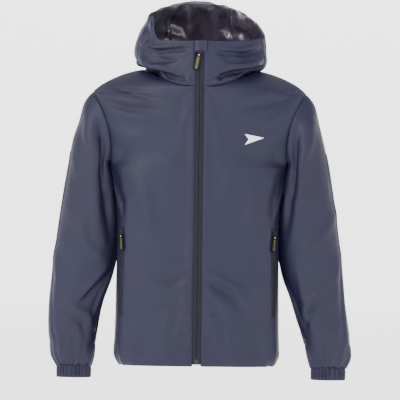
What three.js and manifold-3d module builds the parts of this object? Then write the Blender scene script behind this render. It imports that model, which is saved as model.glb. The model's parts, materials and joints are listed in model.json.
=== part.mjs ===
// Hooded foul weather jacket, zipped shut, hanging as it does on a shopkeeper's form.
// Millimetres. +Z is up, the front faces -Y, the wearer's left is +X.
// The origin is the hanger loop at the centre of the back neck.
import * as THREE from 'three';
import { mergeVertices } from 'three/addons/utils/BufferGeometryUtils.js';
import Module from 'manifold-3d';

// ---------------------------------------------------------------- driving dimensions
const SHELL = 1.6; // coated shell fabric with its seam allowances
const SEAM = 0.4; // each panel stops this far short of a seam line
const FIT = 0.4; // clearance between a piece and what it lies on
const TAPE = 0.8; // zip tape thickness

const HEM_Z = -703; // bottom edge of the body
const ARMPIT_Z = -238;
// The rows of the body were drawn for this height from hem to armpit and stretch with it.
const DRAWN_HEIGHT = 465;
const bodyZ = (rise) => HEM_Z + rise * (ARMPIT_Z - HEM_Z) / DRAWN_HEIGHT;
const SHOULDER = { x: 250, z: -58 }; // shoulder tip
const ARMPIT_X = 212;
const ARMHOLE_BOW = 20; // how far the armhole seam curves in from a straight line
const ARMHOLE_GAP = 1; // the sleeve stands off the body's armhole by this much
const ARMHOLE_DEPTH = 60; // half of the armhole, front to back
const MID_Y = -62; // the side seams' plane
const CHEST_ROUNDNESS = 2.6; // superellipse exponent at the shoulders
const WAIST_ROUNDNESS = 4.2; // and lower down, where the front lies flatter

const FRONT_Y = -149; // centre front line at z = 0
const FRONT_LEAN = 0.061; // the centre front comes forward by this much for each mm down

const NECK = { halfWidth: 118, backY: 8, sideZ: -9, frontZ: -52, backZ: 10 };
const HOOD_RIM = { halfWidth: 150, backY: 5, frontZ: 58, sideZ: 75, backZ: 150 };
const HOOD_BAG = { halfWidth: 172, backY: 150, sideZ: 20, backZ: 40 };
const CHIN_END = 70; // degrees round the neck from the centre front
const GUSSET_START = 152;

const CUFF = { halfWidth: 41, halfDepth: 27, x: 300, y: -84, top: -707, height: 29 };
const CASING_WALL = 1.4;
const ELASTIC = 1.2; // thickness of the elastic in the cuffs and hem
const HEM_TURN_UP = 26;

const MAIN_ZIP = { top: 50, bottom: HEM_Z + 3, halfWidth: 9.5, restDrop: 14 };
const POCKET_ZIP = { top: bodyZ(325), bottom: bodyZ(115), halfWidth: 7.5, restDrop: 12, share: 0.93 };
const COIL = { inner: 0.6, outer: 3.0, thickness: 1.6 };
const COIL_LIFT = TAPE / 2 + 0.3; // the coil lies this far behind the tape's middle
const SLIDER = { halfWidth: 4.6, halfLength: 7, plate: 1.2 };
const STOP_LENGTH = 4;
const RETAINER_HEIGHT = 12;
const PIN_LENGTH = 25;
const MAIN_TAB = { width: 14, length: 42, thickness: 2.4, tilt: 12 };
const POCKET_TAB = { width: 13, length: 40, thickness: 2.4, tilt: 8 };
const LINK = { halfWidth: 4.2, bar: 1.1, length: 13, thickness: 1 };
const HANGER = { halfSpan: 35, height: 10, strap: 1.2, reach: 3.4 };
const EMBLEM = { x: 129, z: -170, width: 44, height: 26, thickness: 0.5 };
const STORM_FLAP = { halfWidth: 12, flange: 12, cloth: 1.2, back: 4.6, top: -64, bottom: HEM_Z + 31 };

// Half-width of the body below the armpit, [z, half-width], hem first.
const BODY_WIDTH = [
  [HEM_Z, 182], [bodyZ(13), 190], [bodyZ(43), 195], [bodyZ(103), 193], [bodyZ(173), 192], [bodyZ(233), 191],
  [bodyZ(293), 190], [bodyZ(353), 192], [bodyZ(403), 197], [bodyZ(441), 203], [ARMPIT_Z, ARMPIT_X],
];
// Centre back line, [z, y].
const BACK_LINE = [
  [HEM_Z, 12], [bodyZ(103), 12], [bodyZ(253), 18], [bodyZ(403), 30], [ARMPIT_Z - 2, 35], [-120, 36], [SHOULDER.z, 26],
];
// Stations down the sleeve: outer and inner edge [x, z], half-depth, middle y and seam bow.
const SLEEVE = [
  { outer: [SHOULDER.x, SHOULDER.z], inner: [ARMPIT_X, ARMPIT_Z], depth: ARMHOLE_DEPTH, y: MID_Y, bow: ARMHOLE_BOW },
  { outer: [270, -80], inner: [211.5, -250], depth: 62, y: MID_Y, bow: 10 },
  { outer: [285, -130], inner: [209, -272], depth: 64, y: -62, bow: 3 },
  { outer: [304, -209], inner: [205, -312], depth: 62, y: -64, bow: 0 },
  { outer: [317, -285], inner: [201, -360], depth: 59, y: -67, bow: 0 },
  { outer: [329, -368], inner: [199, -418], depth: 56, y: -71, bow: 0 },
  { outer: [341, -466], inner: [206, -484], depth: 52, y: -76, bow: 0 },
  { outer: [350, -556], inner: [226, -556], depth: 47, y: -81, bow: 0 },
  { outer: [355, -636], inner: [243, -636], depth: 44, y: -84, bow: 0 },
  { outer: [352, -678], inner: [251, -678], depth: 39, y: -84, bow: 0 },
  { outer: [CUFF.x + CUFF.halfWidth, CUFF.top], inner: [CUFF.x - CUFF.halfWidth, CUFF.top],
    depth: CUFF.halfDepth, y: CUFF.y, bow: 0 },
];

// ---------------------------------------------------------------- booleans
const wasm = await Module();
wasm.setup();

function toManifold(geometry) {
  const bare = geometry.clone();
  bare.deleteAttribute('normal');
  bare.deleteAttribute('uv');
  const merged = mergeVertices(bare, 1e-4);
  return new wasm.Manifold(new wasm.Mesh({
    numProp: 3,
    vertProperties: Float32Array.from(merged.attributes.position.array),
    triVerts: Uint32Array.from(merged.index.array),
  }));
}

function fromManifold(solid) {
  const mesh = solid.getMesh();
  const geometry = new THREE.BufferGeometry();
  geometry.setAttribute('position', new THREE.BufferAttribute(mesh.vertProperties, 3));
  geometry.setIndex(new THREE.BufferAttribute(mesh.triVerts, 1));
  return geometry;
}

function joined(...geometries) {
  return fromManifold(geometries.map(toManifold).reduce((all, next) => all.add(next)));
}

function cutBy(geometry, ...tools) {
  return fromManifold(tools.map(toManifold).reduce((left, tool) => left.subtract(tool), toManifold(geometry)));
}

// ---------------------------------------------------------------- small shapes
function box([x0, x1], [y0, y1], [z0, z1]) {
  const geometry = new THREE.BoxGeometry(x1 - x0, y1 - y0, z1 - z0);
  return geometry.translate((x0 + x1) / 2, (y0 + y1) / 2, (z0 + z1) / 2);
}

// A flat outline in x and z, with its front face at yFront and its back at yBack.
function plate(shape, yFront, yBack) {
  const geometry = new THREE.ExtrudeGeometry(shape, {
    depth: yBack - yFront, bevelEnabled: false, curveSegments: 3,
  });
  return geometry.rotateX(Math.PI / 2).translate(0, yBack, 0);
}

function roundedRectangle(halfWidth, bottom, top, radius, Kind = THREE.Shape) {
  const outline = new Kind();
  outline.moveTo(-halfWidth + radius, bottom);
  outline.lineTo(halfWidth - radius, bottom);
  outline.absarc(halfWidth - radius, bottom + radius, radius, -Math.PI / 2, 0);
  outline.absarc(halfWidth - radius, top - radius, radius, 0, Math.PI / 2);
  outline.absarc(-halfWidth + radius, top - radius, radius, Math.PI / 2, Math.PI);
  outline.absarc(-halfWidth + radius, bottom + radius, radius, Math.PI, 1.5 * Math.PI);
  return outline;
}

function mirrored(geometry) {
  const copy = geometry.clone().scale(-1, 1, 1);
  if (!copy.index) {
    copy.setIndex([...Array(copy.attributes.position.count).keys()]);
  }
  const index = copy.index.array;
  for (let i = 0; i < index.length; i += 3) {
    [index[i], index[i + 1]] = [index[i + 1], index[i]];
  }
  return copy;
}

// ---------------------------------------------------------------- cloth
// A cloth panel is a grid of points on its outer face: rows run upwards and the points in a row
// run anticlockwise seen from above, so that the face looks outwards.
function faceNormals(rows, closed) {
  const width = rows[0].length;
  return rows.map((row, i) => row.map((_, j) => {
    const left = closed ? (j + width - 1) % width : Math.max(j - 1, 0);
    const right = closed ? (j + 1) % width : Math.min(j + 1, width - 1);
    const along = row[right].clone().sub(row[left]);
    const up = rows[Math.min(i + 1, rows.length - 1)][j].clone().sub(rows[Math.max(i - 1, 0)][j]);
    return along.cross(up).normalize();
  }));
}

function inset(rows, distance, closed = false) {
  const normals = faceNormals(rows, closed);
  return rows.map((row, i) => row.map((p, j) => p.clone().addScaledVector(normals[i][j], -distance)));
}

function pullBack(point, neighbour, distance) {
  return point.clone().add(neighbour.clone().sub(point).setLength(distance));
}

// Stops the panel short of its neighbours, by a distance for each edge.
function trimmed(rows, { start = 0, end = 0, bottom = 0, top = 0 }) {
  const cut = rows.map((row) => {
    const last = row.length - 1;
    const first = start ? pullBack(row[0], row[1], start) : row[0];
    const final = end ? pullBack(row[last], row[last - 1], end) : row[last];
    return [first, ...row.slice(1, last), final];
  });
  const high = cut.length - 1;
  if (bottom) {
    cut[0] = cut[0].map((p, j) => pullBack(p, cut[1][j], bottom));
  }
  if (top) {
    cut[high] = cut[high].map((p, j) => pullBack(p, cut[high - 1][j], top));
  }
  return cut;
}

// Gives the grid a wall, inwards from its face, and closes the edges.
function cloth(rows, wall = SHELL, closed = false) {
  const inner = inset(rows, wall, closed);
  const height = rows.length;
  const width = rows[0].length;
  const spans = closed ? width : width - 1;
  const positions = [...rows.flat(), ...inner.flat()].flatMap((p) => [p.x, p.y, p.z]);
  const at = (i, j) => i * width + (j % width);
  const under = height * width;
  const index = [];
  const quad = (a, b, c, d) => index.push(a, b, c, a, c, d);
  const rim = (a, b) => quad(b, a, a + under, b + under);
  for (let i = 0; i < height - 1; i += 1) {
    for (let j = 0; j < spans; j += 1) {
      const corners = [at(i, j), at(i, j + 1), at(i + 1, j + 1), at(i + 1, j)];
      quad(...corners);
      quad(...corners.map((k) => k + under).reverse());
    }
  }
  for (let j = 0; j < spans; j += 1) {
    rim(at(0, j), at(0, j + 1));
    rim(at(height - 1, j + 1), at(height - 1, j));
  }
  for (let i = 0; i < height - 1 && !closed; i += 1) {
    rim(at(i, width - 1), at(i + 1, width - 1));
    rim(at(i + 1, 0), at(i, 0));
  }
  const geometry = new THREE.BufferGeometry();
  geometry.setAttribute('position', new THREE.Float32BufferAttribute(positions, 3));
  geometry.setIndex(index);
  return geometry;
}

const SIDE = Math.PI / 2; // the wearer's left side, counted from the centre front
const radians = THREE.MathUtils.degToRad;
const mix = THREE.MathUtils.lerp;

function steps(from, to, count) {
  return Array.from({ length: count + 1 }, (_, k) => mix(from, to, k / count));
}

function profile(stations, at) {
  const last = stations.length - 1;
  const k = stations.findIndex(([place]) => at <= place);
  if (k === 0) return stations[0][1];
  if (k < 0) return stations[last][1];
  const [[from, low], [to, high]] = [stations[k - 1], stations[k]];
  return mix(low, high, (at - from) / (to - from));
}

// ---------------------------------------------------------------- body of the jacket
const frontLine = (z) => FRONT_Y + FRONT_LEAN * z;
const roundness = (z) => mix(WAIST_ROUNDNESS, CHEST_ROUNDNESS, THREE.MathUtils.smoothstep(z, -420, -120));

// The armhole seam on the wearer's left; 0 is the shoulder tip and pi the armpit.
function armholeEdge(turn) {
  const middle = { x: (SHOULDER.x + ARMPIT_X) / 2, z: (SHOULDER.z + ARMPIT_Z) / 2 };
  const side = Math.sin(turn);
  return {
    x: middle.x + (SHOULDER.x - ARMPIT_X) / 2 * Math.cos(turn) - ARMHOLE_BOW * side ** 2,
    z: middle.z + (SHOULDER.z - ARMPIT_Z) / 2 * Math.cos(turn),
    opening: ARMHOLE_DEPTH * side,
  };
}

// A level of the body: half-width, height, and how far the armhole opens it at its side.
const bodyLevels = BODY_WIDTH.slice(0, -1).map(([z, x]) => ({ x, z, opening: 0 }));
const armholeLevels = steps(Math.PI, 0, 8).map(armholeEdge);
const levels = [...bodyLevels, ...armholeLevels];

// A point on one level at a share of its half-width, on the front or the back.
function pointAtShare(level, share, isBack = false) {
  const power = roundness(level.z);
  const fullness = mix(1 / power, 1, level.opening / ARMHOLE_DEPTH);
  const farY = isBack ? profile(BACK_LINE, level.z) : frontLine(level.z);
  const nearY = MID_Y + (isBack ? level.opening : -level.opening);
  const rise = Math.max(1 - share ** power, 0) ** fullness;
  return new THREE.Vector3(level.x * share, mix(nearY, farY, rise), level.z);
}

// A point round one level: 0 is the centre front, pi/2 the wearer's left side, pi the centre back.
function levelPoint(level, angle) {
  const power = roundness(level.z);
  const [across, along] = [Math.sin(angle), Math.abs(Math.cos(angle))];
  const share = across / (across ** power + along ** power) ** (1 / power);
  return pointAtShare(level, Math.min(share, 1), angle > SIDE);
}

function neckPoint(angle) {
  const front = Math.cos(angle);
  const farY = front > 0 ? frontLine(NECK.frontZ) : NECK.backY;
  const farZ = front > 0 ? NECK.frontZ : NECK.backZ;
  return new THREE.Vector3(
    NECK.halfWidth * Math.sin(angle),
    mix(MID_Y, farY, Math.abs(front)),
    mix(NECK.sideZ, farZ, front ** 2),
  );
}

// From the shoulder tips' level (0) up to the neck seam (1).
function yokePoint(share, angle) {
  return levelPoint(levels.at(-1), angle).lerp(neckPoint(angle), share);
}

function bodyRows(angles) {
  const body = levels.map((level) => angles.map((angle) => levelPoint(level, angle)));
  const yoke = [0.35, 0.7, 1].map((share) => angles.map((angle) => yokePoint(share, angle)));
  return [...body, ...yoke];
}

// The panel's edge beside the zip is straight, at the zip's own half-width.
function besideZip(rows) {
  return rows.map((row) => {
    const edge = new THREE.Vector3(MAIN_ZIP.halfWidth + FIT, row[0].y, row[0].z);
    return [edge, ...row.filter((p) => p.x > MAIN_ZIP.halfWidth + 2 * FIT)];
  });
}

// The back's first angle is just past the side, so that it lies on the back's edge of the armhole.
const frontAngles = [0, 12, 23, 33, 42, 50, 58, 66, 74, 82, 90].map(radians);
const backAngles = [90.01, 99, 108, 117, 126, 136, 148, 163, 180].map(radians);

function frontPanelRows() {
  return trimmed(besideZip(bodyRows(frontAngles)), { end: SEAM, top: SEAM });
}

function backPanelRows() {
  const half = bodyRows(backAngles);
  const whole = half.map((row) => {
    const otherSide = row.slice(0, -1).reverse().map((p) => new THREE.Vector3(-p.x, p.y, p.z));
    return [...row, ...otherSide];
  });
  return trimmed(whole, { start: SEAM, end: SEAM, top: SEAM });
}

function hemRows(angles, distance, [low, high]) {
  const rows = [low, bodyZ(13), high].map((z) => {
    const level = { x: profile(BODY_WIDTH, z), z, opening: 0 };
    return angles.map((angle) => levelPoint(level, angle));
  });
  return inset(rows, distance);
}

const elasticInset = SHELL + FIT;
const facingInset = elasticInset + ELASTIC + FIT;
const turnUp = [HEM_Z + 1, HEM_Z + HEM_TURN_UP];

function frontHemFacing() {
  const rows = besideZip(hemRows(frontAngles, facingInset, turnUp));
  return cloth(trimmed(rows, { end: SEAM }), 1);
}

function backHemFacing() {
  const half = hemRows(backAngles, facingInset, turnUp);
  const whole = half.map((row) => {
    const otherSide = row.slice(0, -1).reverse().map((p) => new THREE.Vector3(-p.x, p.y, p.z));
    return [...row, ...otherSide];
  });
  return cloth(trimmed(whole, { start: SEAM, end: SEAM }), 1);
}

function hemElastic() {
  const angles = [...frontAngles.slice(5), ...backAngles.slice(1, 5)];
  return cloth(hemRows(angles, elasticInset, [HEM_Z + 4, HEM_Z + HEM_TURN_UP - 4]), ELASTIC);
}

// Waterproof tapes ironed over the side and shoulder seams, inside.
function sideSeamTape() {
  const halfWidth = 9;
  const rows = bodyLevels.slice(2).map(({ x, z }) => (
    [-halfWidth, 0, halfWidth].map((y) => new THREE.Vector3(x - SHELL - FIT, MID_Y + y, z))
  ));
  return cloth(rows, 0.6);
}

function shoulderSeamTape() {
  const angles = [-0.1, -0.03, 0, 0.03, 0.1].map((turn) => SIDE + turn);
  const rows = steps(0.1, 0.9, 4).map((share) => angles.map((angle) => yokePoint(share, angle)));
  return cloth(inset(rows, SHELL + FIT), 0.6);
}

// ---------------------------------------------------------------- hood
function rimPoint(angle) {
  const front = Math.cos(angle);
  const farY = front > 0 ? frontLine(HOOD_RIM.frontZ) : HOOD_RIM.backY;
  const height = front > 0
    ? mix(HOOD_RIM.sideZ, HOOD_RIM.frontZ, front)
    : mix(HOOD_RIM.sideZ, HOOD_RIM.backZ, (-front) ** 1.3);
  return new THREE.Vector3(HOOD_RIM.halfWidth * Math.sin(angle), mix(MID_Y, farY, Math.abs(front)), height);
}

// The hood's fullness; at the centre front it stays on the straight zip line.
function bagPoint(angle) {
  const front = Math.cos(angle);
  const chinZ = (NECK.frontZ + HOOD_RIM.frontZ) / 2;
  const farY = front > 0 ? frontLine(chinZ) : HOOD_BAG.backY;
  const farZ = front > 0 ? chinZ : HOOD_BAG.backZ;
  return new THREE.Vector3(
    HOOD_BAG.halfWidth * Math.sin(angle),
    mix(MID_Y, farY, Math.abs(front)),
    mix(HOOD_BAG.sideZ, farZ, Math.abs(front)),
  );
}

// From the neck seam (0) up to the rim of the face opening (1).
function hoodPoint(rise, angle) {
  const low = neckPoint(angle).lerp(bagPoint(angle), rise);
  const high = bagPoint(angle).lerp(rimPoint(angle), rise);
  return low.lerp(high, rise);
}

function hoodRows(fromDegrees, toDegrees, count) {
  const angles = steps(fromDegrees, toDegrees, count).map(radians);
  return steps(0, 1, 7).map((rise) => angles.map((angle) => hoodPoint(rise, angle)));
}

const chinPanel = () => cloth(trimmed(besideZip(hoodRows(0, CHIN_END, 7)), { end: SEAM, bottom: SEAM }));
const hoodSide = () => cloth(
  trimmed(hoodRows(CHIN_END, GUSSET_START, 8), { start: 2 * SEAM, end: SEAM, bottom: SEAM }),
);
const hoodGusset = () => cloth(
  trimmed(hoodRows(GUSSET_START, 360 - GUSSET_START, 6), { start: SEAM, end: SEAM, bottom: SEAM }),
);

// ---------------------------------------------------------------- sleeves
function sleeveRing({ outer, inner, depth, y, bow }, turns) {
  const middle = [(outer[0] + inner[0]) / 2, (outer[1] + inner[1]) / 2];
  const reach = [(outer[0] - inner[0]) / 2, (outer[1] - inner[1]) / 2];
  return turns.map((turn) => new THREE.Vector3(
    middle[0] + reach[0] * Math.cos(turn) - bow * Math.sin(turn) ** 2,
    y + depth * Math.sin(turn),
    middle[1] + reach[1] * Math.cos(turn),
  ));
}

const SLEEVE_SIDES = 24;

function sleeve() {
  const turns = steps(0, 2 * Math.PI, SLEEVE_SIDES).slice(0, -1);
  const rows = SLEEVE.map((station) => sleeveRing(station, turns)).reverse();
  return cloth(trimmed(rows, { bottom: SEAM, top: 3 * SEAM }), SHELL, true).translate(ARMHOLE_GAP, 0, 0);
}

// A band round the wrist: its section is a closed outline of [outward, height] points.
function wristBand(section) {
  const turns = steps(0, 2 * Math.PI, SLEEVE_SIDES).slice(0, -1);
  const points = turns.flatMap((turn) => section.map(([out, height]) => [
    CUFF.x + (CUFF.halfWidth + out) * Math.cos(turn),
    CUFF.y + (CUFF.halfDepth + out) * Math.sin(turn),
    CUFF.top - CUFF.height + height,
  ]));
  const count = section.length;
  const at = (ring, k) => (ring % SLEEVE_SIDES) * count + (k % count);
  const index = [];
  for (let ring = 0; ring < SLEEVE_SIDES; ring += 1) {
    for (let k = 0; k < count; k += 1) {
      const corners = [at(ring, k), at(ring + 1, k), at(ring + 1, k + 1), at(ring, k + 1)];
      index.push(corners[0], corners[1], corners[2], corners[0], corners[2], corners[3]);
    }
  }
  const geometry = new THREE.BufferGeometry();
  geometry.setAttribute('position', new THREE.Float32BufferAttribute(points.flat(), 3));
  geometry.setIndex(index);
  return geometry;
}

const slotDepth = ELASTIC + 2 * FIT;
const cuffDepth = 2 * CASING_WALL + slotDepth;

// The casing is cloth folded up inside itself, open at the top where the sleeve is sewn on.
function cuff() {
  const top = CUFF.height - SEAM;
  return wristBand([
    [0, 0], [0, top], [-CASING_WALL, top], [-CASING_WALL, CASING_WALL],
    [-CASING_WALL - slotDepth, CASING_WALL], [-CASING_WALL - slotDepth, top],
    [-cuffDepth, top], [-cuffDepth, 0],
  ]);
}

function cuffElastic() {
  const outside = -CASING_WALL - FIT;
  const [low, high] = [CASING_WALL + FIT, CUFF.height - 3];
  return wristBand([[outside, low], [outside, high], [outside - ELASTIC, high], [outside - ELASTIC, low]]);
}

// ---------------------------------------------------------------- zips
// A zip is drawn flat: x across, the outside towards -y, z up with its top end at 0.
const coilBack = COIL_LIFT + COIL.thickness;

function zipTape(halfWidth, bottom) {
  return box([COIL.inner + 0.3, halfWidth], [-TAPE / 2, TAPE / 2], [bottom, 0]);
}

function zipCoil(bottom) {
  return box([COIL.inner, COIL.outer], [COIL_LIFT, coilBack], [bottom, -STOP_LENGTH - 2]);
}

function zipTopStop() {
  const front = -TAPE / 2 - 0.3;
  return box([COIL.inner + 0.3, COIL.outer], [front - 1, front], [-STOP_LENGTH - 1, -1]);
}

const plateBack = -TAPE / 2 - FIT;
const bridge = { halfWidth: 1.2, halfLength: 4.2, rise: 4.2, wall: 1.2 };
const linkY = plateBack - SLIDER.plate - (bridge.rise - bridge.wall) / 2;

function zipSlider() {
  const { halfWidth, halfLength, plate: wall } = SLIDER;
  const keel = coilBack + FIT;
  const front = plateBack - wall;
  const flange = COIL.outer + FIT;
  const faceOutline = roundedRectangle(halfWidth, -halfLength, halfLength, 2);
  const face = plate(faceOutline, front, plateBack);
  const keelPlate = plate(faceOutline, keel, keel + wall);
  const post = box([-0.3, 0.3], [front + 0.1, keel + 0.1], [1, halfLength - 1]);
  const flangeSpan = [TAPE / 2 + FIT, keel + 0.1];
  const sides = [box([flange, halfWidth], flangeSpan, [-halfLength + 2, halfLength - 2]),
    box([-halfWidth, -flange], flangeSpan, [-halfLength + 2, halfLength - 2])];
  const arch = box([-bridge.halfWidth, bridge.halfWidth], [front - bridge.rise, front + 0.1],
    [-bridge.halfLength, bridge.halfLength]);
  const eye = box([-bridge.halfWidth - 1, bridge.halfWidth + 1], [front - bridge.rise + bridge.wall, front],
    [-bridge.halfLength + bridge.wall, bridge.halfLength - bridge.wall]);
  return joined(face, keelPlate, post, ...sides, cutBy(arch, eye));
}

// The wire link hangs in the slider's bridge; z = 0 is the axis it swings about.
function linkOutline(grow) {
  const top = LINK.bar / 2 + grow;
  return roundedRectangle(LINK.halfWidth + grow, top - LINK.length - 2 * grow, top, 1);
}

function pullerLink() {
  const outline = linkOutline(0);
  const top = LINK.bar / 2;
  outline.holes.push(roundedRectangle(
    LINK.halfWidth - LINK.bar, top - LINK.length + LINK.bar, top - LINK.bar, 0.4, THREE.Path,
  ));
  return plate(outline, linkY - LINK.thickness / 2, linkY + LINK.thickness / 2);
}

// The moulded tab grips the link's lower bar in a pocket that is open at the top.
function pullerTab({ width, length, thickness }) {
  const top = -LINK.length / 2;
  const body = plate(roundedRectangle(width / 2, top - length, top, 3), linkY - thickness / 2, linkY + thickness / 2);
  const halfPocket = LINK.thickness / 2 + 0.3;
  const pocket = plate(linkOutline(0.3), linkY - halfPocket, linkY + halfPocket);
  return cutBy(body, pocket);
}

// One closed body fills the space between the link's legs, so that the tab can't fall off.
function pullerTabWithBar(size) {
  const top = -LINK.length / 2 - 0.4;
  const low = LINK.bar / 2 - LINK.length + LINK.bar + 0.3;
  const half = LINK.halfWidth - LINK.bar - 0.3;
  const bar = box([-half, half], [linkY - size.thickness / 2, linkY + size.thickness / 2], [low, top]);
  return joined(pullerTab(size), bar);
}

function retainerBox(bottom) {
  const back = coilBack + 1;
  const body = box([-5, 5], [-TAPE / 2 - 1.2, back], [bottom, bottom + RETAINER_HEIGHT]);
  const socket = box([-COIL.outer - 0.3, -COIL.inner + 0.3], [COIL_LIFT - 0.3, coilBack + 0.3],
    [bottom + 1.5, bottom + RETAINER_HEIGHT + 1]);
  return cutBy(body, socket);
}

function insertionPin(bottom) {
  return box([-COIL.outer, -COIL.inner], [COIL_LIFT, coilBack], [bottom + 2, bottom + 2 + PIN_LENGTH]);
}

function bottomStop(bottom) {
  const front = -TAPE / 2 - 0.3;
  return box([-COIL.outer, COIL.outer], [front - 1, front], [bottom + 2, bottom + 2 + STOP_LENGTH]);
}

// A fold of shell cloth over the top of the zip, so that the slider doesn't rub the chin.
function zipGarage() {
  const halfWidth = MAIN_ZIP.halfWidth - 0.2;
  const front = plateBack - SLIDER.plate - 1;
  const back = coilBack + 0.6;
  const outside = box([-halfWidth, halfWidth], [front, back], [-5, 6]);
  const inside = box([-halfWidth - 1, halfWidth + 1], [front + 1, back - 1], [-6, 5]);
  return cutBy(outside, inside);
}

// A strip of cloth behind the zip, sewn to the wearer's left front, keeps driven rain out.
function stormFlap() {
  const { halfWidth, flange, cloth: wall, back, top, bottom } = STORM_FLAP;
  const panelInside = SHELL / 2 + FIT;
  const heights = [bottom - MAIN_ZIP.top, top - MAIN_ZIP.top];
  const strip = box([-halfWidth, halfWidth + wall], [back, back + wall], heights);
  const step = box([halfWidth, halfWidth + wall], [panelInside, back + 0.1], heights);
  const sewn = box([halfWidth, halfWidth + flange], [panelInside, panelInside + wall], heights);
  return joined(strip, step, sewn);
}

// ---------------------------------------------------------------- loop and chest device
function hangerLoop() {
  const bend = (x) => HANGER.reach * THREE.MathUtils.smoothstep(Math.abs(x), 8, HANGER.halfSpan - 6);
  const places = steps(-HANGER.halfSpan, HANGER.halfSpan, 14);
  const near = places.map((x) => new THREE.Vector2(x, bend(x) - HANGER.strap / 2));
  const far = places.map((x) => new THREE.Vector2(x, bend(x) + HANGER.strap / 2)).reverse();
  const geometry = new THREE.ExtrudeGeometry(new THREE.Shape([...near, ...far]), {
    depth: HANGER.height, bevelEnabled: false,
  });
  return geometry.translate(0, 0, -HANGER.height / 2);
}

// A plain pennant, point towards the side.
function chestEmblem() {
  const { width, height, thickness } = EMBLEM;
  const outline = new THREE.Shape([
    new THREE.Vector2(-width / 2, -height / 2),
    new THREE.Vector2(width / 2, 0),
    new THREE.Vector2(-width / 2, height / 2),
    new THREE.Vector2(-width / 4, 0),
  ]);
  return plate(outline, -FIT - thickness, -FIT);
}

// ---------------------------------------------------------------- frames to place flat pieces in
// -y looks along the outward direction, z along up.
function standingFrame(origin, outward, up) {
  const z = up.clone().normalize();
  const y = outward.clone().negate();
  y.addScaledVector(z, -y.dot(z)).normalize();
  const x = y.clone().cross(z);
  return new THREE.Matrix4().makeBasis(x, y, z).setPosition(origin);
}

const zipLineUp = new THREE.Vector3(0, FRONT_LEAN, 1).normalize();
const mainZipFrame = standingFrame(
  new THREE.Vector3(0, frontLine(MAIN_ZIP.top) + SHELL / 2, MAIN_ZIP.top),
  new THREE.Vector3(0, -1, 0),
  zipLineUp,
);

function bodySurface(z, share) {
  const level = { x: profile(BODY_WIDTH, z), z, opening: 0 };
  return pointAtShare(level, share);
}

function outwardAt(pointAt, a, b, size = 0.01) {
  const across = pointAt(a, b + size).sub(pointAt(a, b - size));
  const up = pointAt(a + 1, b).sub(pointAt(a - 1, b));
  return across.cross(up).normalize();
}

const pocketTop = bodySurface(POCKET_ZIP.top, POCKET_ZIP.share);
const pocketBottom = bodySurface(POCKET_ZIP.bottom, POCKET_ZIP.share);
const pocketLength = pocketTop.distanceTo(pocketBottom);
const pocketOut = outwardAt(bodySurface, (POCKET_ZIP.top + POCKET_ZIP.bottom) / 2, POCKET_ZIP.share);
const pocketFrame = standingFrame(
  pocketTop.clone().addScaledVector(pocketOut, -SHELL / 2),
  pocketOut,
  pocketTop.clone().sub(pocketBottom),
);

// The body's level at a height inside the armhole's span.
function chestSurface(z, share) {
  const middle = (SHOULDER.z + ARMPIT_Z) / 2;
  const turn = Math.acos((z - middle) / ((SHOULDER.z - ARMPIT_Z) / 2));
  return pointAtShare(armholeEdge(turn), share);
}

const chestWidth = chestSurface(EMBLEM.z, 1).x;
const emblemShare = EMBLEM.x / chestWidth;
const emblemFrame = standingFrame(
  chestSurface(EMBLEM.z, emblemShare),
  outwardAt(chestSurface, EMBLEM.z, emblemShare),
  new THREE.Vector3(0, 0, 1),
);

// ---------------------------------------------------------------- pockets
function pocketSlot() {
  const half = POCKET_ZIP.halfWidth + FIT;
  return box([-half, half], [-8, 8], [-pocketLength - FIT, FIT]).applyMatrix4(pocketFrame);
}

function frontPanel() {
  return cutBy(cloth(frontPanelRows()), pocketSlot());
}

// The bag lies flat against the inside of the front, from beside the zip towards the middle.
function pocketBag() {
  const angles = frontAngles.slice(1, 5);
  const rows = bodyLevels.slice(2, 7).map((level) => angles.map((angle) => levelPoint(level, angle)));
  return cloth(inset(rows, SHELL + FIT), 2);
}

// ---------------------------------------------------------------- finishes
const finishes = {
  shell: { color: 0x454660, roughness: 0.55 },
  shellShade: { color: 0x3d3e56, roughness: 0.6 },
  coating: { color: 0x231f2c, roughness: 0.3 },
  elastic: { color: 0x24252f, roughness: 0.9 },
  zipTape: { color: 0x363746, roughness: 0.8 },
  zipCoil: { color: 0x22232c, roughness: 0.45 },
  zipMetal: { color: 0x1c1c20, roughness: 0.4, metalness: 0.8 },
  tab: { color: 0x17171a, roughness: 0.6 },
  print: { color: 0xdcdde3, roughness: 0.5 },
  bag: { color: 0x2c2d3c, roughness: 0.8 },
};

const jacket = new THREE.Group();

function addPiece(parent, name, geometry, finish) {
  const material = new THREE.MeshStandardMaterial({ metalness: 0, ...finishes[finish] });
  geometry.computeVertexNormals();
  const piece = new THREE.Mesh(geometry, material);
  piece.name = name;
  parent.add(piece);
  return piece;
}

function addPair(parent, name, geometry, finish) {
  addPiece(parent, `${name}_left`, geometry, finish);
  addPiece(parent, `${name}_right`, mirrored(geometry), finish);
}

function placedGroup(frame, parent = jacket) {
  const group = new THREE.Group();
  frame.decompose(group.position, group.quaternion, group.scale);
  parent.add(group);
  return group;
}

// Slider, link and tab, at their place along a zip whose top end is at 0.
function addSlider(zip, name, drop, tab) {
  const carriage = new THREE.Group();
  carriage.position.z = -drop;
  zip.add(carriage);
  addPiece(carriage, `${name}_slider`, zipSlider(), 'zipMetal');
  const puller = new THREE.Group();
  puller.rotation.y = radians(tab.tilt);
  carriage.add(puller);
  addPiece(puller, `${name}_puller_link`, pullerLink(), 'zipMetal');
  addPiece(puller, `${name}_puller_tab`, pullerTabWithBar(tab), 'tab');
}

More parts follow.
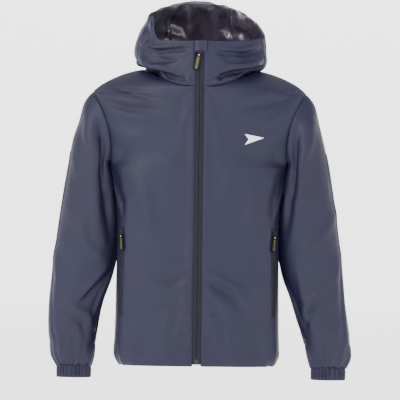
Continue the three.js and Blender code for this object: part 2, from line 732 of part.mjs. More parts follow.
function addBody() {
  addPair(jacket, 'front_panel', frontPanel(), 'shell');
  addPiece(jacket, 'back_panel', cloth(backPanelRows()), 'shell');
  addPair(jacket, 'hem_facing', frontHemFacing(), 'shellShade');
  addPiece(jacket, 'hem_facing_back', backHemFacing(), 'shellShade');
  addPair(jacket, 'hem_elastic', hemElastic(), 'elastic');
  addPair(jacket, 'side_seam_tape', sideSeamTape(), 'coating');
  addPair(jacket, 'shoulder_seam_tape', shoulderSeamTape(), 'coating');
  addPiece(jacket, 'hanger_loop', hangerLoop(), 'zipTape');
  addPiece(placedGroup(emblemFrame), 'chest_emblem', chestEmblem(), 'print');
}

function addHood() {
  addPair(jacket, 'chin_panel', chinPanel(), 'shell');
  addPair(jacket, 'hood_side', hoodSide(), 'shell');
  addPiece(jacket, 'hood_gusset', hoodGusset(), 'shell');
}

function addSleeves() {
  addPair(jacket, 'sleeve', sleeve(), 'shell');
  addPair(jacket, 'cuff', cuff(), 'shellShade');
  addPair(jacket, 'cuff_elastic', cuffElastic(), 'elastic');
}

function addMainZip() {
  const zip = placedGroup(mainZipFrame);
  const bottom = MAIN_ZIP.bottom - MAIN_ZIP.top;
  addPair(zip, 'main_zip_tape', zipTape(MAIN_ZIP.halfWidth, bottom + RETAINER_HEIGHT + FIT), 'zipTape');
  addPiece(zip, 'main_zip_coil_left', zipCoil(bottom + RETAINER_HEIGHT + FIT), 'zipCoil');
  addPiece(zip, 'main_zip_coil_right', mirrored(zipCoil(bottom + PIN_LENGTH + 2 + FIT)), 'zipCoil');
  addPair(zip, 'main_zip_top_stop', zipTopStop(), 'zipMetal');
  addPiece(zip, 'main_zip_retainer_box', retainerBox(bottom), 'zipMetal');
  addPiece(zip, 'main_zip_insertion_pin', insertionPin(bottom), 'zipMetal');
  addPiece(zip, 'zip_garage', zipGarage(), 'shell');
  addPiece(zip, 'storm_flap', stormFlap(), 'shellShade');
  addSlider(zip, 'main_zip', MAIN_ZIP.restDrop, MAIN_TAB);
}

function addPocket(side) {
  const mirror = side === 'right' ? mirrored : (geometry) => geometry;
  const name = `pocket_${side}`;
  const frame = pocketFrame.clone();
  if (side === 'right') {
    const flip = new THREE.Matrix4().makeScale(-1, 1, 1);
    frame.premultiply(flip).multiply(flip);
  }
  const zip = placedGroup(frame);
  const tape = zipTape(POCKET_ZIP.halfWidth, -pocketLength);
  const coil = zipCoil(-pocketLength + 1);
  addPiece(zip, `${name}_tape_rear`, mirror(tape), 'zipTape');
  addPiece(zip, `${name}_tape_front`, mirror(mirrored(tape)), 'zipTape');
  addPiece(zip, `${name}_coil_rear`, mirror(coil), 'zipCoil');
  addPiece(zip, `${name}_coil_front`, mirror(mirrored(coil)), 'zipCoil');
  addPiece(zip, `${name}_bottom_stop`, bottomStop(-pocketLength), 'zipMetal');
  addSlider(zip, name, POCKET_ZIP.restDrop, { ...POCKET_TAB, tilt: side === 'right' ? -POCKET_TAB.tilt : POCKET_TAB.tilt });
}

addBody();
addHood();
addSleeves();
addMainZip();
addPair(jacket, 'pocket_bag', pocketBag(), 'bag');
['left', 'right'].forEach(addPocket);

export default jacket;
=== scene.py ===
"""A hooded foul weather jacket, zipped shut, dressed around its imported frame."""

import json
import logging
import math
from collections.abc import Callable
from dataclasses import dataclass, field
from enum import Enum

import bmesh
import bpy
import numpy as np
from mathutils import Matrix, Vector, noise
from mathutils.bvhtree import BVHTree

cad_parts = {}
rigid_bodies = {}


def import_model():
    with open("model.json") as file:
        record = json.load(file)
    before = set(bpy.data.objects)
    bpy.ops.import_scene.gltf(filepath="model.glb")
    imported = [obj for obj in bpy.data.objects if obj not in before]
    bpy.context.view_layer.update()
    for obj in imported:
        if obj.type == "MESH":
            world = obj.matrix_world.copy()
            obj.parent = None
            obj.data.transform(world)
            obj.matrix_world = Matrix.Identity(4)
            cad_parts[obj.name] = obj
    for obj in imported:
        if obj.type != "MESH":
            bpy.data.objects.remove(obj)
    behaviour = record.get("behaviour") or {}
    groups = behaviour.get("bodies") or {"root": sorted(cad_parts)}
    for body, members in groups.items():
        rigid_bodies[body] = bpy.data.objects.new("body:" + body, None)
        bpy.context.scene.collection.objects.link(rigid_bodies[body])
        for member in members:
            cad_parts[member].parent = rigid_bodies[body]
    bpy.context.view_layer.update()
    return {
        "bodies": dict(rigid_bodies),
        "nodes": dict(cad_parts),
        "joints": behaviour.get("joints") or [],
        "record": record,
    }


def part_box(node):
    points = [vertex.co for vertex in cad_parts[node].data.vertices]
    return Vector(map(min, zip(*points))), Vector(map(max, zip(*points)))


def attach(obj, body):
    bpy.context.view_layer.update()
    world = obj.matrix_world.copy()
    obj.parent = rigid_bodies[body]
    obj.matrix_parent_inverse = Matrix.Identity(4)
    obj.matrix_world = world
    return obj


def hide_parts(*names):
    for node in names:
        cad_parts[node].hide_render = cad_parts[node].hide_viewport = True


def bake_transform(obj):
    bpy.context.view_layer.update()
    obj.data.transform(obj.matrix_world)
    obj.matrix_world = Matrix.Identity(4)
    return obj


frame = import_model()

MM = 0.001
METRE = 1000
LOG = logging.getLogger("jacket")
# How dark and how light the threads of a weave are against its colour, and how far they stand out.
THREAD_SHADE = (0.9, 1.06)
THREAD_RELIEF_MM = 0.08


class Side(Enum):
    """The wearer's side that a piece is on; its value is the sign of x."""

    LEFT = 1
    RIGHT = -1

    @property
    def word(self) -> str:
        """The side's name as node names spell it."""
        return self.name.lower()


# ---------------------------------------------------------------- colour and nodes


def linear(hex_colour: str) -> tuple:
    """Turns an sRGB hex colour to linear red, green, blue and alpha.

    Args:
        hex_colour: six hex digits.

    Returns:
        Four numbers from 0 to 1.
    """
    parts = [int(hex_colour[i : i + 2], 16) / 255 for i in (0, 2, 4)]
    light = [p / 12.92 if p <= 0.04045 else ((p + 0.055) / 1.055) ** 2.4 for p in parts]
    return (*light, 1.0)


def add_node(tree: bpy.types.NodeTree, kind: str, inputs: dict | None = None, **settings) -> bpy.types.Node:
    """Adds a node, sets its properties, and sets or links its inputs.

    Args:
        tree: the node tree.
        kind: the node's type name.
        inputs: socket name or number to a value, or to an output socket to link from.
        settings: properties of the node itself.

    Returns:
        The new node.
    """
    node = tree.nodes.new(kind)
    for name, value in settings.items():
        setattr(node, name, value)
    for name, value in (inputs or {}).items():
        socket = node.inputs[name]
        if isinstance(value, bpy.types.NodeSocket):
            tree.links.new(value, socket)
        else:
            socket.default_value = value
    return node


@dataclass(frozen=True)
class Finish:
    """One material: its colours, gloss, mottling and surface pattern, in real millimetres."""

    name: str
    colour: str
    shade: str
    roughness: float = 0.6
    roughness_spread: float = 0.1
    metallic: float = 0.0
    mottle_mm: float = 60.0
    weave_mm: float = 0.0
    grain_mm: float = 0.0
    grain_depth_mm: float = 0.05
    crease_mm: float = 0.0
    crease_depth_mm: float = 0.0
    specular: float = 0.5
    glow: float = 0.0
    sheen: float = 0.0
    coat: float = 0.0

    def material(self) -> bpy.types.Material:
        """Builds the material once and returns it after that.

        Returns:
            The material.
        """
        if self.name in bpy.data.materials:
            return bpy.data.materials[self.name]
        material = bpy.data.materials.new(self.name)
        material.use_nodes = True
        tree = material.node_tree
        tree.nodes.clear()
        place = add_node(tree, "ShaderNodeTexCoord").outputs["Object"]
        surface = add_node(
            tree,
            "ShaderNodeBsdfPrincipled",
            {
                "Base Color": self._colour(tree, place),
                "Roughness": self._gloss(tree, place),
                "Metallic": self.metallic,
                "Specular IOR Level": self.specular,
                "Emission Color": linear(self.colour),
                "Emission Strength": self.glow,
                "Sheen Weight": self.sheen,
                "Sheen Roughness": 0.5,
                "Coat Weight": self.coat,
                "Coat Roughness": 0.25,
            },
        )
        relief = self._relief(tree, place)
        if relief:
            tree.links.new(relief, surface.inputs["Normal"])
        add_node(tree, "ShaderNodeOutputMaterial", {"Surface": surface.outputs["BSDF"]})
        return material

    def _noise(
        self, tree: bpy.types.NodeTree, place: bpy.types.NodeSocket, size_mm: float
    ) -> bpy.types.NodeSocket:
        """A noise texture whose lumps measure size_mm.

        Args:
            tree: the material's node tree.
            place: the object's own coordinates.
            size_mm: how far apart the lumps are.

        Returns:
            Its height, from 0 to 1.
        """
        return add_node(
            tree, "ShaderNodeTexNoise", {"Vector": place, "Scale": 1 / (size_mm * MM), "Detail": 4.0}
        ).outputs["Fac"]

    def _colour(self, tree: bpy.types.NodeTree, place: bpy.types.NodeSocket) -> bpy.types.NodeSocket:
        """Mixes the two colours by a slow mottle, and by the weave where there is one.

        Args:
            tree: the material's node tree.
            place: the object's own coordinates.

        Returns:
            The colour.
        """
        share = self._noise(tree, place, self.mottle_mm)
        mixed = add_node(
            tree,
            "ShaderNodeMix",
            {0: share, 6: linear(self.shade), 7: linear(self.colour)},
            data_type="RGBA",
        ).outputs[2]
        if not self.weave_mm:
            return mixed
        threads = add_node(
            tree,
            "ShaderNodeMapRange",
            {
                "Value": self._weave(tree, place),
                "From Min": 0.0,
                "From Max": 1.0,
                "To Min": THREAD_SHADE[0],
                "To Max": THREAD_SHADE[1],
            },
        ).outputs["Result"]
        return add_node(
            tree,
            "ShaderNodeMix",
            {0: 1.0, 6: mixed, 7: threads},
            data_type="RGBA",
            blend_type="MULTIPLY",
        ).outputs[2]

    def _gloss(self, tree: bpy.types.NodeTree, place: bpy.types.NodeSocket) -> bpy.types.NodeSocket:
        """Roughness that wanders a little over the surface.

        Args:
            tree: the material's node tree.
            place: the object's own coordinates.

        Returns:
            The roughness.
        """
        return add_node(
            tree,
            "ShaderNodeMapRange",
            {
                "Value": self._noise(tree, place, self.mottle_mm * 0.6),
                "To Min": max(self.roughness - self.roughness_spread, 0.02),
                "To Max": min(self.roughness + self.roughness_spread, 1.0),
            },
        ).outputs["Result"]

    def _weave(self, tree: bpy.types.NodeTree, place: bpy.types.NodeSocket) -> bpy.types.NodeSocket:
        """Warp and weft threads as two crossed sets of bands, weave_mm apart.

        Args:
            tree: the material's node tree.
            place: the object's own coordinates.

        Returns:
            The height of the threads, from 0 to 1.
        """
        bands = [
            add_node(
                tree,
                "ShaderNodeTexWave",
                {
                    "Vector": place,
                    "Scale": math.pi / (10 * self.weave_mm * MM),
                    "Distortion": 0.6,
                    "Detail": 0.0,
                },
                bands_direction=axis,
            ).outputs["Fac"]
            for axis in ("X", "Z")
        ]
        return add_node(tree, "ShaderNodeMath", {0: bands[0], 1: bands[1]}, operation="MULTIPLY").outputs[0]

    def _relief(self, tree: bpy.types.NodeTree, place: bpy.types.NodeSocket) -> bpy.types.NodeSocket | None:
        """Stacks the weave, grain and crease bumps that the finish has.

        Args:
            tree: the material's node tree.
            place: the object's own coordinates.

        Returns:
            The bumped normal, or None where the finish is smooth.
        """
        normal = None
        layers = []
        if self.crease_mm:
            ridges = add_node(
                tree,
                "ShaderNodeTexNoise",
                {"Vector": place, "Scale": 1 / (self.crease_mm * MM), "Detail": 1.5, "Distortion": 0.8},
            ).outputs["Fac"]
            layers.append((ridges, self.crease_depth_mm))
        if self.weave_mm:
            layers.append((self._weave(tree, place), THREAD_RELIEF_MM))
        if self.grain_mm:
            layers.append((self._noise(tree, place, self.grain_mm), self.grain_depth_mm))
        for height, depth_mm in layers:
            inputs = {"Height": height, "Distance": depth_mm * MM, "Strength": 1.0}
            if normal:
                inputs["Normal"] = normal
            normal = add_node(tree, "ShaderNodeBump", inputs).outputs["Normal"]
        return normal


# Woven polyester, coated inside: a satin slate navy whose threads can just be made out. The
# threads are 0.3 mm apart in the real cloth and drawn 1.2 mm apart so that they show.
SHELL = Finish(
    "woven_coated_polyester", "16152d", "121125", roughness=0.54, mottle_mm=90, weave_mm=1.2, specular=0.24,
    crease_mm=34, crease_depth_mm=1.0,
)
# The same cloth seen from inside: a wet-looking polyurethane film over it.
COATING = Finish(
    "polyurethane_coated_face", "3a3340", "292430", roughness=0.3, roughness_spread=0.08, mottle_mm=45,
    crease_mm=42, crease_depth_mm=1.6, coat=0.3,
)
# Knitted rubber-cored elastic: dull, with fine ribs.
ELASTIC = Finish("knitted_elastic", "1d1e2b", "161721", roughness=0.9, mottle_mm=12, weave_mm=1.6)
# Ironed-on seam film: glossy and a little see-through, so it takes the coating's colour.
SEAM_FILM = Finish("heat_sealed_seam_film", "2a2632", "201d27", roughness=0.3, mottle_mm=20, coat=0.4)
# Herringbone polyester tape: duller and darker than the shell cloth.
ZIP_TAPE = Finish(
    "herringbone_polyester_tape", "11121c", "0d0e17", roughness=0.75, mottle_mm=14, weave_mm=0.9,
    specular=0.22,
)
# Nylon monofilament, bent to a coil: smooth and slightly glossy.
COIL = Finish("nylon_monofilament", "14151d", "0f1016", roughness=0.4, mottle_mm=5)
# Die-cast zinc under black enamel: soft highlights on small rounded edges.
ENAMEL = Finish(
    "black_enamelled_zinc", "18181c", "101013", roughness=0.35, metallic=0.4, mottle_mm=4, grain_mm=0.8,
    grain_depth_mm=0.02,
)
# Moulded PVC rubber: matt black with a fine spark-eroded grain.
TAB_RUBBER = Finish(
    "moulded_pvc_rubber", "060607", "030303", roughness=0.7, mottle_mm=6, grain_mm=0.7, grain_depth_mm=0.04,
    specular=0.15,
)
# The tab's second colour, moulded into its face.
TAB_INSET = Finish(
    "olive_yellow_pvc_inset", "4a4410", "36310a", roughness=0.6, mottle_mm=5, grain_mm=0.7,
    grain_depth_mm=0.05,
)
# A bright rivet head of the same plastic on each tab.
TAB_DOT = Finish("white_pvc_stud", "d8d8d2", "c2c2bc", roughness=0.5, mottle_mm=3)
# Reflective transfer film: cold white and smooth, with the cloth's grain coming through.
PRINT = Finish(
    "white_transfer_film", "dfe0e6", "c8cad4", roughness=0.45, mottle_mm=8, grain_mm=1.2,
    grain_depth_mm=0.04,
)
# Warp-knitted lining: dull and soft.
LINING = Finish("warp_knit_lining", "23253a", "1a1b2b", roughness=0.85, mottle_mm=25, weave_mm=1.6)
# Spun polyester thread in the shell's colour, and the pale thread of the hood's inner seam.
THREAD = Finish("navy_spun_thread", "1a1b2e", "141524", roughness=0.75, mottle_mm=4)
PALE_THREAD = Finish("pale_spun_thread", "8d8d9a", "747482", roughness=0.7, mottle_mm=4)
# Woven polyester tape of the hanger loop: soft and dull, with a plain weave.
HANGER_TAPE = Finish("woven_hanger_tape", "20213a", "191a2e", roughness=0.8, mottle_mm=10, weave_mm=1.0)
# Painted studio board, lit from behind as well so that it stays white.
BOARD = Finish(
    "white_studio_board", "fbfbfb", "f7f7f8", roughness=0.9, mottle_mm=800, specular=0.1, glow=1.4,
)


# ---------------------------------------------------------------- meshes


def new_object(name: str, mesh: bpy.types.Mesh, *finishes: Finish) -> bpy.types.Object:
    """Links a mesh into the scene as an object at the origin, with its finishes.

    Args:
        name: the object's name.
        mesh: its mesh.
        finishes: its materials, in slot order.

    Returns:
        The new object.
    """
    thing = bpy.data.objects.new(name, mesh)
    bpy.context.collection.objects.link(thing)
    for finish in finishes:
        mesh.materials.append(finish.material())
    return thing


def mesh_from(name: str, points: np.ndarray, faces: list, smooth: bool = True) -> bpy.types.Mesh:
    """Makes a mesh from points in millimetres and faces as lists of point numbers.

    Args:
        name: the mesh's name.
        points: rows of xyz.
        faces: lists of point numbers.
        smooth: whether the faces shade smoothly.

    Returns:
        The new mesh.
    """
    mesh = bpy.data.meshes.new(name)
    mesh.from_pydata((np.asarray(points) * MM).tolist(), [], faces)
    mesh.polygons.foreach_set("use_smooth", [smooth] * len(mesh.polygons))
    mesh.update()
    return mesh


def baked(thing: bpy.types.Object) -> bpy.types.Object:
    """Turns an object with live modifiers into a plain mesh object.

    Args:
        thing: the object with its modifiers.

    Returns:
        The same object, with none left.
    """
    bpy.context.view_layer.update()
    graph = bpy.context.evaluated_depsgraph_get()
    mesh = bpy.data.meshes.new_from_object(thing.evaluated_get(graph))
    thing.modifiers.clear()
    thing.data = mesh
    return thing


def grid_faces(rows: int, columns: int, closed: bool = False) -> list:
    """Quads of a grid whose points run along each row in turn.

    Args:
        rows: how many rows.
        columns: how many points in each.
        closed: whether each row joins up with its own start.

    Returns:
        Four point numbers for each face.
    """
    spans = columns if closed else columns - 1
    return [
        (
            i * columns + j,
            i * columns + (j + 1) % columns,
            (i + 1) * columns + (j + 1) % columns,
            (i + 1) * columns + j,
        )
        for i in range(rows - 1)
        for j in range(spans)
    ]


def smooth_profile(stations: list, at: np.ndarray) -> np.ndarray:
    """Interpolates [place, value] stations without overshoot, in place of straight lines.

    Args:
        stations: [place, value] pairs, in order of place.
        at: the places asked for.

    Returns:
        The values there.
    """
    places, values = np.array(stations, float).T
    slopes = np.diff(values) / np.diff(places)
    tangents = np.zeros(len(values))
    same = slopes[:-1] * slopes[1:] > 0
    tangents[1:-1][same] = 2 / (1 / slopes[:-1][same] + 1 / slopes[1:][same])
    tangents[0], tangents[-1] = slopes[0], slopes[-1]
    at = np.clip(np.asarray(at, float), places[0], places[-1])
    k = np.clip(np.searchsorted(places, at) - 1, 0, len(slopes) - 1)
    span = places[k + 1] - places[k]
    t = (at - places[k]) / span
    return (
        (2 * t**3 - 3 * t**2 + 1) * values[k]
        + (t**3 - 2 * t**2 + t) * span * tangents[k]
        + (3 * t**2 - 2 * t**3) * values[k + 1]
        + (t**3 - t**2) * span * tangents[k + 1]
    )


def smoothstep(value: np.ndarray, low: float, high: float) -> np.ndarray:
    """0 below low, 1 above high and a smooth rise between them."""
    t = np.clip((np.asarray(value, float) - low) / (high - low), 0, 1)
    return t * t * (3 - 2 * t)


def lerp(a: np.ndarray, b: np.ndarray, t: float) -> np.ndarray:
    """The point a share t of the way from a to b."""
    return a + (b - a) * t


# ---------------------------------------------------------------- the jacket's cut


class Panel(Enum):
    """The panels that the shell is cut as."""

    FRONT_LEFT = "front_panel_left"
    FRONT_RIGHT = "front_panel_right"
    BACK = "back_panel"
    SLEEVE_LEFT = "sleeve_left"
    SLEEVE_RIGHT = "sleeve_right"
    CHIN_LEFT = "chin_panel_left"
    CHIN_RIGHT = "chin_panel_right"
    HOOD_SIDE_LEFT = "hood_side_left"
    HOOD_SIDE_RIGHT = "hood_side_right"
    GUSSET = "hood_gusset"


@dataclass
class BodyCut:
    """Shape of the body: levels that run up from the hem to the neck seam, in millimetres."""

    hem_z: float = -703
    armpit_z: float = -238
    shoulder_z: float = -58
    shoulder_x: float = 250
    armpit_x: float = 212
    armhole_bow: float = 20
    armhole_depth: float = 60
    mid_y: float = -62
    front_y: float = -149
    front_lean: float = 0.061
    zip_edge: float = 9.9
    # How the shoulders round up between the armhole and the neck seam.
    shoulder_crown: float = 15
    crown_lean: float = 0.6
    crown_roundness: float = 0.55
    crown_at_centre: float = 0.35
    # How square the body's section is at the hem, what it loses on the way up, and between which heights.
    hem_squareness: float = 4.2
    squareness_lost: float = 1.6
    softening: tuple = (-420, -120)
    # How the front and back turn in to the armhole above the armpit.
    chest_fullness: float = 0.72
    armpit_sharpness: float = 24
    opening_rise: float = 68
    neck_half_width: float = 118
    neck_back: tuple = (8, 10)
    neck_side_z: float = -9
    neck_front_z: float = -52
    widths: list = field(
        default_factory=lambda: [
            [-703, 182], [-690, 190], [-660, 195], [-600, 193], [-530, 192], [-470, 191],
            [-410, 190], [-350, 192], [-300, 197], [-262, 203], [-238, 212],
        ]
    )
    back_line: list = field(
        default_factory=lambda: [
            [-703, 12], [-600, 12], [-450, 18], [-300, 30], [-240, 35], [-120, 36], [-58, 26],
        ]
    )
    hem_rows: int = 66
    armhole_rows: int = 32
    yoke_rows: int = 22
    columns: int = 40

    def front_line(self, z: np.ndarray) -> np.ndarray:
        """The y of the straight centre front line."""
        return self.front_y + self.front_lean * z

    def row_at(self, z: float) -> float:
        """The fractional row of a height between the hem and the armpit."""
        return (z - self.hem_z) / (self.armpit_z - self.hem_z) * self.hem_rows

    def column_at(self, x: float, z: float) -> float:
        """The fractional column of the front where the half-width is x at a height below the armpit."""
        level = (float(smooth_profile(self.widths, z)), z, 0.0)
        return float(np.interp(x, self.level_row(level, False)[:, 0], np.arange(self.columns + 1)))

    def surface(self, z: float, share: float) -> np.ndarray:
        """The front's point at a height below the armpit and a share of the half-width.

        Args:
            z: the height.
            share: 0 at the centre front, 1 at the side seam.

        Returns:
            Its xyz on the wearer's left.
        """
        power = float(self.power(z))
        x = float(smooth_profile(self.widths, z))
        rise = (1 - share**power) ** (1 / power)
        return np.array([x * share, self.mid_y + (self.front_line(z) - self.mid_y) * rise, z])

    def power(self, z: np.ndarray) -> np.ndarray:
        """How square the body's section is at a height."""
        return self.hem_squareness - self.squareness_lost * smoothstep(z, *self.softening)

    def levels(self) -> list:
        """(half-width, z, armhole opening) of each row below the yoke.

        Returns:
            The levels, from the hem up.
        """
        low = [(float(smooth_profile(self.widths, z)), float(z), 0.0)
               for z in np.linspace(self.hem_z, self.armpit_z, self.hem_rows + 1)[:-1]]
        middle_x, middle_z = (self.shoulder_x + self.armpit_x) / 2, (self.shoulder_z + self.armpit_z) / 2
        reach_x, reach_z = (self.shoulder_x - self.armpit_x) / 2, (self.shoulder_z - self.armpit_z) / 2
        for turn in np.linspace(math.pi, 0, self.armhole_rows + 1):
            side = math.sin(turn)
            x = middle_x + reach_x * math.cos(turn) - self.armhole_bow * side**2
            low.append((x, middle_z + reach_z * math.cos(turn), self.armhole_depth * max(side, 0)))
        return low

    def level_row(self, level: tuple, is_back: bool) -> np.ndarray:
        """One row of a quarter of the body, from the centre line to the side.

        Args:
            level: half-width, z and armhole opening.
            is_back: the back's quarter, or the front's.

        Returns:
            Columns by xyz.
        """
        x, z, opening = level
        power = float(self.power(z))
        first = 0.0 if is_back else self.zip_edge / x
        start = math.atan((first**power / (1 - first**power)) ** (1 / power))
        angle = np.linspace(start, math.pi / 2, self.columns + 1)
        across, along = np.sin(angle), np.abs(np.cos(angle))
        share = np.minimum(across / (across**power + along**power) ** (1 / power), 1)
        filled = float(smoothstep(z, self.armpit_z - 30, self.armpit_z + 70))
        fullness = lerp(1 / power, self.chest_fullness, filled)
        far = float(smooth_profile(self.back_line, z)) if is_back else float(self.front_line(z))
        rise = np.maximum(1 - share**power, 0) ** fullness
        above = float(smoothstep(z, self.armpit_z, self.armpit_z + self.opening_rise))
        edge = lerp(share**self.armpit_sharpness, 1 - rise, above) * (opening if is_back else -opening)
        y = self.mid_y + (far - self.mid_y) * rise + edge
        return np.stack([x * share, y, np.full_like(share, z)], axis=1)

    def neck_row(self, is_back: bool) -> np.ndarray:
        """The neck seam's row in the same quarter.

        Args:
            is_back: the back's quarter, or the front's.

        Returns:
            Columns by xyz.
        """
        start = 0.0 if is_back else math.asin(self.zip_edge / self.neck_half_width)
        angle = np.linspace(start, math.pi / 2, self.columns + 1)
        front = np.cos(angle)
        neck_front = (self.front_line(self.neck_front_z), self.neck_front_z)
        far_y, far_z = self.neck_back if is_back else neck_front
        return np.stack(
            [
                self.neck_half_width * np.sin(angle),
                self.mid_y + (far_y - self.mid_y) * front,
                self.neck_side_z + (far_z - self.neck_side_z) * front**2,
            ],
            axis=1,
        )

    def quarter(self, is_back: bool) -> np.ndarray:
        """Rows by columns by xyz of one quarter on the wearer's left.

        Args:
            is_back: the back's quarter, or the front's.

        Returns:
            The points, hem first.
        """
        levels = self.levels()
        rows = [self.level_row(level, is_back) for level in levels]
        top, neck = rows[-1], self.neck_row(is_back)
        side = np.linspace(0, 1, self.columns + 1)[:, None]
        lean = (self.crown_lean if is_back else -self.crown_lean) * (1 - side)
        tilt = np.concatenate([np.zeros_like(side), lean, np.ones_like(side)], axis=1)
        for t in np.linspace(0, 1, self.yoke_rows + 1)[1:]:
            crown = self.shoulder_crown * max(math.sin(math.pi * t), 0) ** self.crown_roundness
            share = self.crown_at_centre + (1 - self.crown_at_centre) * side**2
            rows.append(lerp(top, neck, t) + tilt * crown * share)
        return np.array(rows)


@dataclass
class HoodCut:
    """Shape of the slumped hood, from the neck seam up to the rim of the face opening."""

    body: BodyCut
    rim_half_width: float = 153
    rim_back_y: float = 5
    rim_heights: tuple = (58, 76, 161)
    bag_half_width: float = 178
    bag_back: tuple = (150, 36)
    bag_side_z: float = -20
    # On the wearer's right the side of the hood stands up and leans in over the face opening.
    upright_half_width: float = 124
    upright_bag_half_width: float = 196
    upright_z: float = 120
    upright_bag_z: float = 8
    rows: int = 30
    chin_end: float = 70
    gusset_start: float = 152

    def quarter(self, is_back: bool, side_worn: Side) -> np.ndarray:
        """Rows by columns by xyz of one quarter, drawn on the wearer's left for either side.

        Args:
            is_back: the back's quarter, or the front's.
            side_worn: the side it is for, as the hood has slumped unevenly.

        Returns:
            The points, neck seam first.
        """
        body = self.body
        neck = body.neck_row(is_back)
        start = 0.0 if is_back else math.asin(body.zip_edge / body.neck_half_width)
        angle = np.linspace(start, math.pi / 2, body.columns + 1)
        side, middle = np.sin(angle), np.cos(angle)
        front_z, side_z, back_z = self.rim_heights
        chin_z = (body.neck_front_z + front_z) / 2
        if is_back:
            bag_far, bag_z = self.bag_back
            rim_far, rim_z = self.rim_back_y, side_z + (back_z - side_z) * middle**1.3
        else:
            bag_far, bag_z = float(body.front_line(chin_z)), chin_z
            rim_far, rim_z = float(body.front_line(front_z)), side_z + (front_z - side_z) * middle
        bag = np.stack(
            [self.bag_half_width * side, body.mid_y + (bag_far - body.mid_y) * middle,
             self.bag_side_z + (bag_z - self.bag_side_z) * middle], axis=1)
        rim = np.stack(
            [self.rim_half_width * side, body.mid_y + (rim_far - body.mid_y) * middle, rim_z], axis=1)
        if side_worn is Side.RIGHT:
            lean = np.ones_like(angle) if is_back else smoothstep(np.degrees(angle), 38, 64)
            stand = self.upright_z + (back_z - self.upright_z) * middle**1.3 if is_back else self.upright_z
            rim[:, 0] *= 1 + (self.upright_half_width / self.rim_half_width - 1) * lean
            rim[:, 2] += (stand - rim[:, 2]) * lean
            bag[:, 0] *= 1 + (self.upright_bag_half_width / self.bag_half_width - 1) * lean
            bag[:, 2] += (self.upright_bag_z - self.bag_side_z) * lean * side
        if not is_back:
            bag[0, 0] = rim[0, 0] = body.zip_edge
        rows = []
        for t in np.linspace(0, 1, self.rows + 1):
            rows.append(lerp(lerp(neck, bag, t), lerp(bag, rim, t), t))
        return np.array(rows)

    def panel(self, angle_degrees: float, side: Side) -> Panel:
        """The panel at an angle from the centre front, on one side.

        Args:
            angle_degrees: 0 at the centre front, 180 at the centre back.
            side: the wearer's side.

        Returns:
            The panel.
        """
        if angle_degrees >= self.gusset_start:
            return Panel.GUSSET
        if angle_degrees >= self.chin_end:
            return Panel.HOOD_SIDE_LEFT if side is Side.LEFT else Panel.HOOD_SIDE_RIGHT
        return Panel.CHIN_LEFT if side is Side.LEFT else Panel.CHIN_RIGHT


@dataclass
class SleeveCut:
    """Shape of a sleeve: stations of outer and inner edge, half-depth, middle y and seam bow."""

    body: BodyCut
    stations: list = field(
        default_factory=lambda: [
            [250, -58, 212, -238, 60, -62, 20],
            [270, -80, 206, -252, 62, -63, 10],
            [285, -130, 197, -272, 64, -66, 3],
            [304, -209, 191, -312, 62, -71, 0],
            [317, -285, 185, -360, 59, -75, 0],
            [329, -368, 186, -418, 56, -77, 0],
            [341, -466, 198, -484, 52, -79, 0],
            [350, -556, 226, -556, 47, -81, 0],
            [356, -636, 243, -636, 44, -84, 0],
            [354, -680, 251, -678, 39, -84, 0],
            [341, -708, 259, -708, 27, -84, 0],
        ]
    )
    rows: int = 96

    def rings(self) -> np.ndarray:
        """Rows by columns by xyz on the wearer's left, armhole first.

        Returns:
            The points.
        """
        table = np.array(self.stations)
        middle = (table[:, 0:2] + table[:, 2:4]) / 2
        length = np.concatenate([[0], np.cumsum(np.linalg.norm(np.diff(middle, axis=0), axis=1))])
        at = np.linspace(0, length[-1], self.rows + 1)
        columns = [smooth_profile(np.stack([length, column], axis=1), at) for column in table.T]
        turns = np.linspace(0, 2 * math.pi, 2 * self.body.armhole_rows + 1)[:-1]
        rows = []
        for outer_x, outer_z, inner_x, inner_z, depth, y, bow in zip(*columns):
            x = (outer_x + inner_x) / 2 + (outer_x - inner_x) / 2 * np.cos(turns) - bow * np.sin(turns) ** 2
            z = (outer_z + inner_z) / 2 + (outer_z - inner_z) / 2 * np.cos(turns)
            rows.append(np.stack([x, y + depth * np.sin(turns), z], axis=1))
        return np.array(rows)


# ---------------------------------------------------------------- the shell


